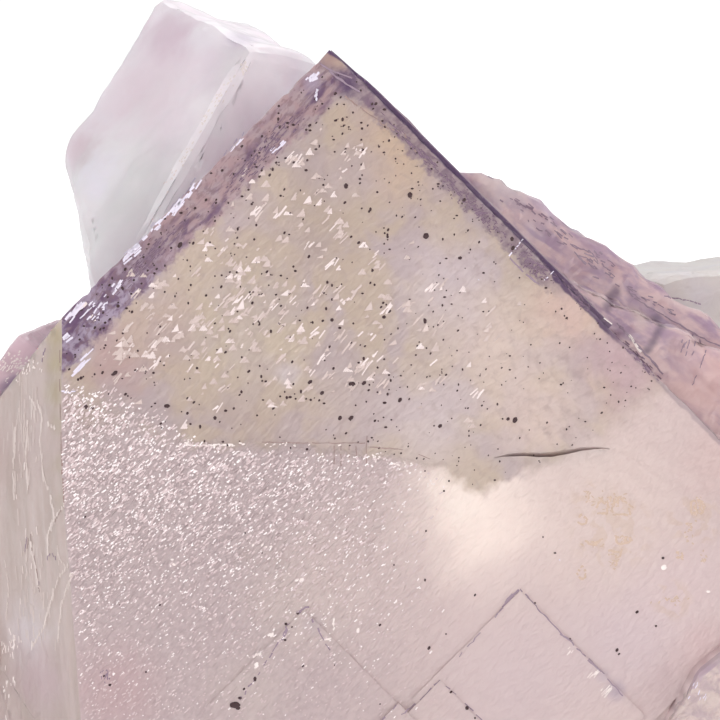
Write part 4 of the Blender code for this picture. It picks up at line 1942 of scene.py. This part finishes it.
BREAK_RIBS = (
    Scatter(26, 440, 16, 60, 60, (6, 24), (0.8, 2.0), (82, 97), 0, Shape.SLIVER, 0.03),
    Scatter(34, 590, 18, 50, 60, (5, 18), (0.8, 2.0), (74, 102), 0, Shape.SLIVER, 0.03),
)


def rust_ring(across: float, down: float, wide: float, tall: float) -> Stroke:
    """Draws an uneven ring of rust.

    Args:
        across: Pixels from the frame's left edge to its middle.
        down: Pixels from the top edge.
        wide: Half its width in pixels.
        tall: Half its height in pixels.

    Returns:
        The ring's line.
    """
    places = []
    for i in range(9):
        angle = math.tau * i / 8
        reach = 1.0 + 0.22 * math.sin(2.7 * i + across)
        places.append(
            (across + wide * reach * math.cos(angle), down + tall * reach * math.sin(angle))
        )
    return Stroke(tuple(places), 2.3, 0.22, 0.9, 0.03, 2.2)


RUST: tuple[Scatter | Stroke, ...] = (
    Scatter(612, 500, 15, 9, 44, (2, 6), (1, 2.4), height=0.03),
    Scatter(588, 495, 5, 6, 12, (2, 5), (1, 2), height=0.03),
    rust_ring(582, 520, 5.0, 4.5),
    rust_ring(621, 508, 10.0, 8.0),
    rust_ring(602, 508, 6.0, 7.0),
    rust_ring(623, 540, 8.0, 3.5),
    Stroke(((585, 541), (592, 545), (603, 539)), 2.2, 0.2, 0.9, 0.03, 2.2),
    Stroke(((607, 549), (616, 552), (622, 549), (617, 560), (613, 572)), 2.2, 0.3, 1.2, 0.03, 2.2),
    Scatter(594, 543, 9, 3, 16, (2, 5), (1, 2.4), height=0.03),
    Scatter(623, 540, 7, 4, 14, (2, 5), (1, 2.4), height=0.03),
    Scatter(614, 562, 5, 12, 18, (2, 5), (1, 2), height=0.03),
    rust_ring(582, 573, 4.5, 6.0),
    rust_ring(697, 507, 7.0, 7.0),
    rust_ring(679, 555, 3.5, 3.0),
    Scatter(697, 512, 7, 14, 30, (2, 5), (1, 2.4), (0, 360), -12, height=0.03),
    Scatter(690, 532, 5, 12, 14, (2, 5), (1, 2), height=0.03),
    Scatter(679, 555, 3, 4, 6, (2, 4), (1, 2), height=0.03),
    Scatter(672, 600, 17, 4, 18, (2, 5), (1, 2), (0, 360), 8, height=0.03),
    Scatter(704, 560, 6, 8, 8, (2, 4), (1, 2), height=0.03),
)


def clamped(value: float, least: float = 0.0) -> float:
    """A value, held between the least one and 1."""
    return min(1.0, max(least, value))


@dataclass
class FrostGlints(MarkGroup):
    """Tiny facets over the frosted zone, most of them at the left, painted white as glints."""

    count: int = 8000
    size: float = 1.0
    least: float = 0.16
    field_across: Span = (60, 450)
    field_down: Span = (385, 720)
    lengths: tuple[float, ...] = (1.4, 1.8, 2.6, 3.8)
    tips: Span = (-0.8, 0.0)

    def density(self, across: float, down: float) -> float:
        """Works out how close together the glints are.

        Args:
            across: Pixels from the frame's left edge.
            down: Pixels from its top edge.

        Returns:
            How many there are, from 0 to 1.
        """
        place = FRAMING.seen(across, down)
        corner = clamped((230 - across) / 90)
        below = BOUNDARY.height(place.x) + 1.3 * corner - 0.1 - place.z
        if below < 0.0 or over_break(place) > -0.05:
            return 0.0
        early = min(1.0, (0.15 + below) / (0.15 + 2.0 * corner))
        leftward = clamped((450 - across) / 150) * (1.0 - 0.38 * clamped((across - 120) / 140))
        top = clamped((720 - down) / 240, self.least)
        cloud = 0.75 + 0.35 * noise.noise(place * 0.25) + 0.4 * noise.noise(place * 1.7)
        return early * leftward * top * cloud

    def spread(self, bed: Bed) -> None:
        """Adds the glints, smaller towards the bottom of the frame.

        Args:
            bed: The bed to add to.
        """
        chance = bed.chance
        for _ in range(self.count):
            across, down = chance.uniform(*self.field_across), chance.uniform(*self.field_down)
            if chance.random() > self.density(across, down):
                continue
            place = bed.seat.at(across, down, chance.uniform(25, 60))
            if place is not None:
                grown = self.size * (1.1 - 0.35 * clamped((down - 420) / 260))
                long = chance.choice(self.lengths) * chance.uniform(0.8, 1.2) * grown
                sizes = (long * PIXEL, chance.uniform(0.7, 1.4) * grown * PIXEL, 0.07)
                bed.add(Shape.SLIVER, place, sizes, self.tips)


PURPLE_SEAMS: tuple[Scatter | Stroke, ...] = (
    # terraces of the front face
    Stroke(((520, 589), (533, 603), (560, 632), (600, 670), (625, 699)), 1.3, 0.06, 0.7),
    Stroke(((527, 597), (533, 603)), 2.6, 0.0, 0.3),
    Stroke(((560, 634), (572, 641)), 2.4, 0.0, 0.4),
    Stroke(((588, 660), (604, 674)), 2.2, 0.1, 0.5),
    Stroke(((519, 590), (508, 600), (500, 611)), 3.6, 0.1, 0.9),
    Stroke(((500, 611), (478, 635), (455, 662)), 1.2, 0.5, 0.8),
    Stroke(((440, 680), (420, 700), (395, 720)), 1.5, 0.3, 0.8),
    Stroke(((440, 680), (462, 700), (482, 720)), 1.2, 0.35, 0.8),
    Stroke(((398, 703), (388, 714), (382, 720)), 1.3, 0.3, 0.8),
    Stroke(((297, 613), (303, 609), (309, 607)), 2.2, 0.1, 0.7),
    Stroke(((285, 622), (287, 630), (282, 640)), 2.0, 0.15, 0.8),
    Stroke(((309, 616), (318, 628), (324, 640), (330, 650)), 1.6, 0.3, 0.8),
    Stroke(((302, 612), (287, 625), (280, 640), (258, 675), (240, 700)), 1.4, 0.5, 1.2),
    # chip at the very top
    Stroke(((320, 63), (328, 69), (338, 73), (352, 78)), 1.6, 0.0, 0.4),
    Stroke(((321, 64), (333, 74), (346, 84), (360, 92)), 2.2, 0.1, 0.8),
    # cleaved corner
    Stroke(((47, 560), (48, 556), (51, 554), (55, 556), (56, 560)), 1.2, 0.0, 0.3),
    Stroke(((40, 560), (40, 578), (38, 592)), 0.8, 0.4, 0.4),
    Stroke(((48, 345), (44, 352), (42, 362)), 1.8, 0.1, 0.5),
    Stroke(((27, 537), (25, 552), (30, 560)), 1.0, 0.2, 0.4),
    Scatter(106, 676, 5, 10, 12, (2, 6), (0.8, 1.8), (30, 100)),
    # lilac neighbours
    Stroke(((622, 286), (638, 300), (668, 318), (700, 337), (720, 346)), 1.6, 0.1, 0.9),
    Stroke(((706, 350), (700, 368), (690, 390)), 1.0, 0.2, 0.5),
    Stroke(((505, 195), (545, 218), (585, 245), (620, 270)), 1.4, 0.55, 1.4),
    Stroke(((520, 215), (560, 243), (600, 272)), 1.2, 0.55, 1.4),
    Stroke(((578, 256), (586, 264)), 2.4, 0.0, 0.4),
    Stroke(((570, 244), (592, 253), (598, 262)), 1.2, 0.2, 0.8),
    Stroke(((664, 296), (686, 300), (705, 306)), 1.8, 0.2, 0.6),
    Scatter(540, 218, 44, 7, 26, (3, 9), (0.8, 1.8), (-50, -20), -37, Shape.SLIVER),
    Scatter(596, 262, 34, 9, 26, (3, 9), (0.8, 1.8), (-50, -15), -34, Shape.SLIVER),
    Scatter(650, 300, 40, 5, 18, (3, 8), (0.8, 1.6), (-45, -10), -28, Shape.SLIVER),
    Scatter(690, 345, 14, 9, 12, (3, 8), (0.8, 1.6), (58, 76), 0, Shape.SLIVER),
    # right edge, below the terrace
    Stroke(((617, 323), (628, 335), (640, 348), (652, 361), (663, 374)), 2.6, 0.05, 0.5),
    # patch by the upper right edge
    Stroke(((510, 258), (523, 272), (539, 284)), 2.0, 0.05, 0.5),
)
EDGE_DUST: tuple[Scatter | Stroke, ...] = (
    Scatter(428, 160, 56, 4, 110, (1.5, 5), (0.6, 1.2), (-52, -38), -44, Shape.SLIVER),
    Scatter(480, 212, 36, 8, 150, (1.2, 4), (0.6, 1.3), (-70, 60), -44, Shape.SLIVER),
    Scatter(533, 264, 22, 8, 130, (1.2, 4), (0.6, 1.3), (-60, 60), -44, Shape.SLIVER),
    Scatter(578, 297, 24, 4, 60, (1.5, 5), (0.6, 1.2), (-60, -30), -44, Shape.SLIVER),
    Scatter(640, 360, 26, 3.5, 70, (1.5, 6), (0.6, 1.3), (-55, -35), -46, Shape.SLIVER),
    Scatter(262, 154, 56, 9, 150, (2, 6), (0.6, 1.2), (38, 56), 46, Shape.SLIVER),
    Scatter(150, 256, 50, 9, 140, (2, 6), (0.6, 1.2), (38, 56), 45, Shape.SLIVER),
)
FINE_LINES: tuple[Scatter | Stroke, ...] = (
    Stroke(((31, 534), (32, 548), (36, 566), (40, 592)), 1.4, 0.2, 0.9),
    Stroke(((28, 538), (27, 552)), 1.6, 0.1, 0.7),
    Stroke(((60, 350), (60, 400), (61, 440)), 0.9, 0.3, 0.3),
    Stroke(((61, 440), (62, 470), (64, 503)), 1.6, 0.1, 0.4),
    Stroke(((65, 504), (58, 515), (52, 526)), 1.0, 0.1, 0.5),
    Stroke(((262, 442), (300, 443), (365, 443)), 0.9, 0.15, 0.3),
    Stroke(((370, 447), (398, 449)), 1.4, 0.0, 0.3),
    Stroke(((398, 449), (415, 453), (430, 459)), 0.7, 0.3, 0.3),
    Stroke(((367, 436), (366, 455), (367, 466)), 1.0, 0.2, 0.3),
    Stroke(((334, 446), (334, 464)), 0.8, 0.4, 0.3),
    Stroke(((341, 446), (341, 466)), 0.8, 0.3, 0.3),
    Stroke(((349, 446), (349, 462)), 0.8, 0.3, 0.3),
    Stroke(((356, 446), (357, 466)), 0.8, 0.3, 0.3),
    Stroke(((345, 96), (370, 115), (388, 128), (403, 132)), 1.5, 0.1, 0.7),
    Stroke(((403, 132), (410, 145), (418, 155)), 1.4, 0.2, 0.9),
    Stroke(((400, 100), (430, 128)), 0.8, 0.5, 0.5),
)


MARKS: tuple[tuple[MarkGroup, Mark], ...] = (
    (Inclusions("dark_inclusions", 5), Mark("dark_inclusion", 0.4, paint(62, 40, 44))),
    (EtchMarks("etch_marks", 11, share=0.8), Mark("etch_facet_painted_glint", 0.2, paint(232, 217, 216))),
    (EtchMarks("soft_etch_marks", 17, share=1.9), Mark("soft_facet_painted_glint", 0.3, paint(208, 190, 186))),
    (PlacedMarks("fresh_chips", 8, FRESH_CHIPS), Mark("fresh_chip", 0.2, paint(228, 220, 236))),
    (FrostGlints("frost_glints", 21), Mark("frost_painted_glint", 0.2, paint(255, 246, 247))),
    (
        FrostGlints("dull_frost_glints", 22, count=13000, size=1.25, least=0.42),
        Mark("dull_frost", 0.3, paint(218, 200, 202)),
    ),
    (PlacedMarks("purple_seams", 3, PURPLE_SEAMS), Mark("purple_seam", 0.35, paint(150, 130, 146))),
    (PlacedMarks("edge_dust", 14, EDGE_DUST), Mark("edge_dust", 0.4, paint(128, 104, 124))),
    (PlacedMarks("white_wisps", 9, WISPS), Mark("white_wisp", 0.3, paint(240, 228, 226))),
    (PlacedMarks("break_wisps", 13, BREAK_WISPS), Mark("break_wisp", 0.35, paint(218, 205, 201))),
    (
        PlacedMarks("soft_wisps", 10, SOFT_WISPS + BREAK_RIBS),
        Mark("soft_wisp", 0.35, paint(206, 191, 187)),
    ),
    (PlacedMarks("rust_spots", 12, RUST), Mark("rust", 0.5, paint(203, 178, 162))),
    (PlacedMarks("fine_lines", 4, FINE_LINES), Mark("fine_line", 0.35, paint(158, 134, 130))),
)


@dataclass(frozen=True)
class Lamp:
    """A square soft light, in metres and watts, aimed at the middle of the group."""

    name: str
    at: Point
    size: float
    watts: float
    colour: Colour = WHITE
    aim: Point = (0.0, -0.01, 0.03)

    def build(self) -> None:
        """Adds the light."""
        data = bpy.data.lights.new(self.name, "AREA")
        data.shape = "SQUARE"
        data.size = self.size
        data.energy = self.watts
        data.color = self.colour
        lamp = bpy.data.objects.new(self.name, data)
        lamp.location = self.at
        way = Vector(self.aim) - Vector(self.at)
        lamp.rotation_euler = way.to_track_quat("-Z", "Y").to_euler()
        bpy.context.scene.collection.objects.link(lamp)


@dataclass
class Studio:
    """The pale floor, the white backdrop, the soft lights and the camera, in metres."""

    sheet_size: float = 4.0
    floor_under: float = 0.0002
    floor_colour: Colour = (0.88, 0.88, 0.88)
    floor_glow: float = 0.35
    backdrop_at: Point = (0.0, 1.2, 0.6)
    backdrop_colour: Colour = (0.0, 0.0, 0.0)
    backdrop_glow: float = 1.05
    world_strength: float = 0.66
    lamps: tuple[Lamp, ...] = (
        Lamp("key_left", (-0.32, -0.34, 0.42), 0.20, 0.72),
        Lamp("fill_right", (0.42, -0.30, 0.22), 0.30, 0.50),
        Lamp("rim_back", (0.05, 0.45, 0.40), 0.30, 0.55),
    )
    highlight_at: tuple[int, int] = (490, 520)
    highlight_distance: float = 330.0
    nearest: float = 0.005

    def plain(self, name: str, colour: Colour, glow: float) -> bpy.types.Material:
        """Makes a matt material that glows.

        Args:
            name: The material's name.
            colour: Its colour.
            glow: The strength of its white glow.

        Returns:
            The material.
        """
        material = bpy.data.materials.new(name)
        material.use_nodes = True
        inputs = material.node_tree.nodes["Principled BSDF"].inputs
        inputs["Base Color"].default_value = (*colour, 1.0)
        inputs["Roughness"].default_value = 0.9
        inputs["Emission Color"].default_value = (*WHITE, 1.0)
        inputs["Emission Strength"].default_value = glow
        return material

    def sheet(self, name: str, matrix: Matrix, material: bpy.types.Material) -> None:
        """Adds a flat square to the stage.

        Args:
            name: The sheet's name.
            matrix: Its place.
            material: Its material.
        """
        bm = bmesh.new()
        bmesh.ops.create_grid(
            bm, x_segments=1, y_segments=1, size=self.sheet_size / 2, matrix=matrix
        )
        mesh = bpy.data.meshes.new(name)
        bm.to_mesh(mesh)
        bm.free()
        mesh.materials.append(material)
        sheet = bpy.data.objects.new(name, mesh)
        bpy.context.scene.collection.objects.link(sheet)

    def build(self) -> None:
        """Builds the stage, the lights and the camera."""
        low = Matrix.Translation((0.0, 0.0, -self.floor_under))
        self.sheet("floor", low, self.plain("floor_paper", self.floor_colour, self.floor_glow))
        back = Matrix.Translation(self.backdrop_at) @ Matrix.Rotation(math.pi / 2, 4, "X")
        paper = self.plain("backdrop_paper", self.backdrop_colour, self.backdrop_glow)
        self.sheet("backdrop", back, paper)
        world = bpy.data.worlds.new("soft_room")
        world.use_nodes = True
        sky = world.node_tree.nodes["Background"]
        sky.inputs["Color"].default_value = (*WHITE, 1.0)
        sky.inputs["Strength"].default_value = self.world_strength
        bpy.context.scene.world = world
        for lamp in (*self.lamps, self.highlight()):
            lamp.build()
        self.camera()
        bpy.context.scene.view_settings.view_transform = "Standard"

    def highlight(self) -> Lamp:
        """Places the warm light that the lower right of the front face mirrors softly.

        Returns:
            The light.
        """
        spot = FRAMING.seen(*self.highlight_at)
        to_eye = (FRAMING.eye - spot).normalized()
        mirrored = Vector((-to_eye.x, to_eye.y, -to_eye.z))
        at = FACE @ (spot + mirrored * self.highlight_distance)
        aim = FACE @ spot
        return Lamp("warm_front", tuple(at * MM), 0.06, 0.14, (1.0, 0.90, 0.80), tuple(aim * MM))

    def camera(self) -> None:
        """Adds the camera, square to the front face."""
        data = bpy.data.cameras.new("camera")
        data.lens = FRAMING.lens
        data.sensor_width = FRAMING.sensor
        data.clip_start = self.nearest
        camera = bpy.data.objects.new("camera", data)
        camera.location = FACE @ FRAMING.eye * MM
        camera.rotation_euler = (math.radians(90.0 - LEAN_DEG), 0.0, 0.0)
        bpy.context.scene.collection.objects.link(camera)
        bpy.context.scene.camera = camera


def main() -> None:
    """Builds the group's looks in order."""
    logging.basicConfig(level=logging.INFO, format="%(relativeCreated)d %(message)s")
    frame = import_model()
    LOG.info("nodes: %s", ", ".join(sorted(frame["nodes"])))
    effects = SharedEffects()
    materials = {zone: finish.build(effects) for zone, finish in FINISHES.items()}
    materials[Zone.MAIN] = ClearZoned().build(effects)
    skin = Skin().build(materials)
    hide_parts(NODE)
    seat = Seat(skin)
    for group, finish in MARKS:
        group.build(seat, finish.build())
    Studio().build()


if __name__ == "__main__":
    main()
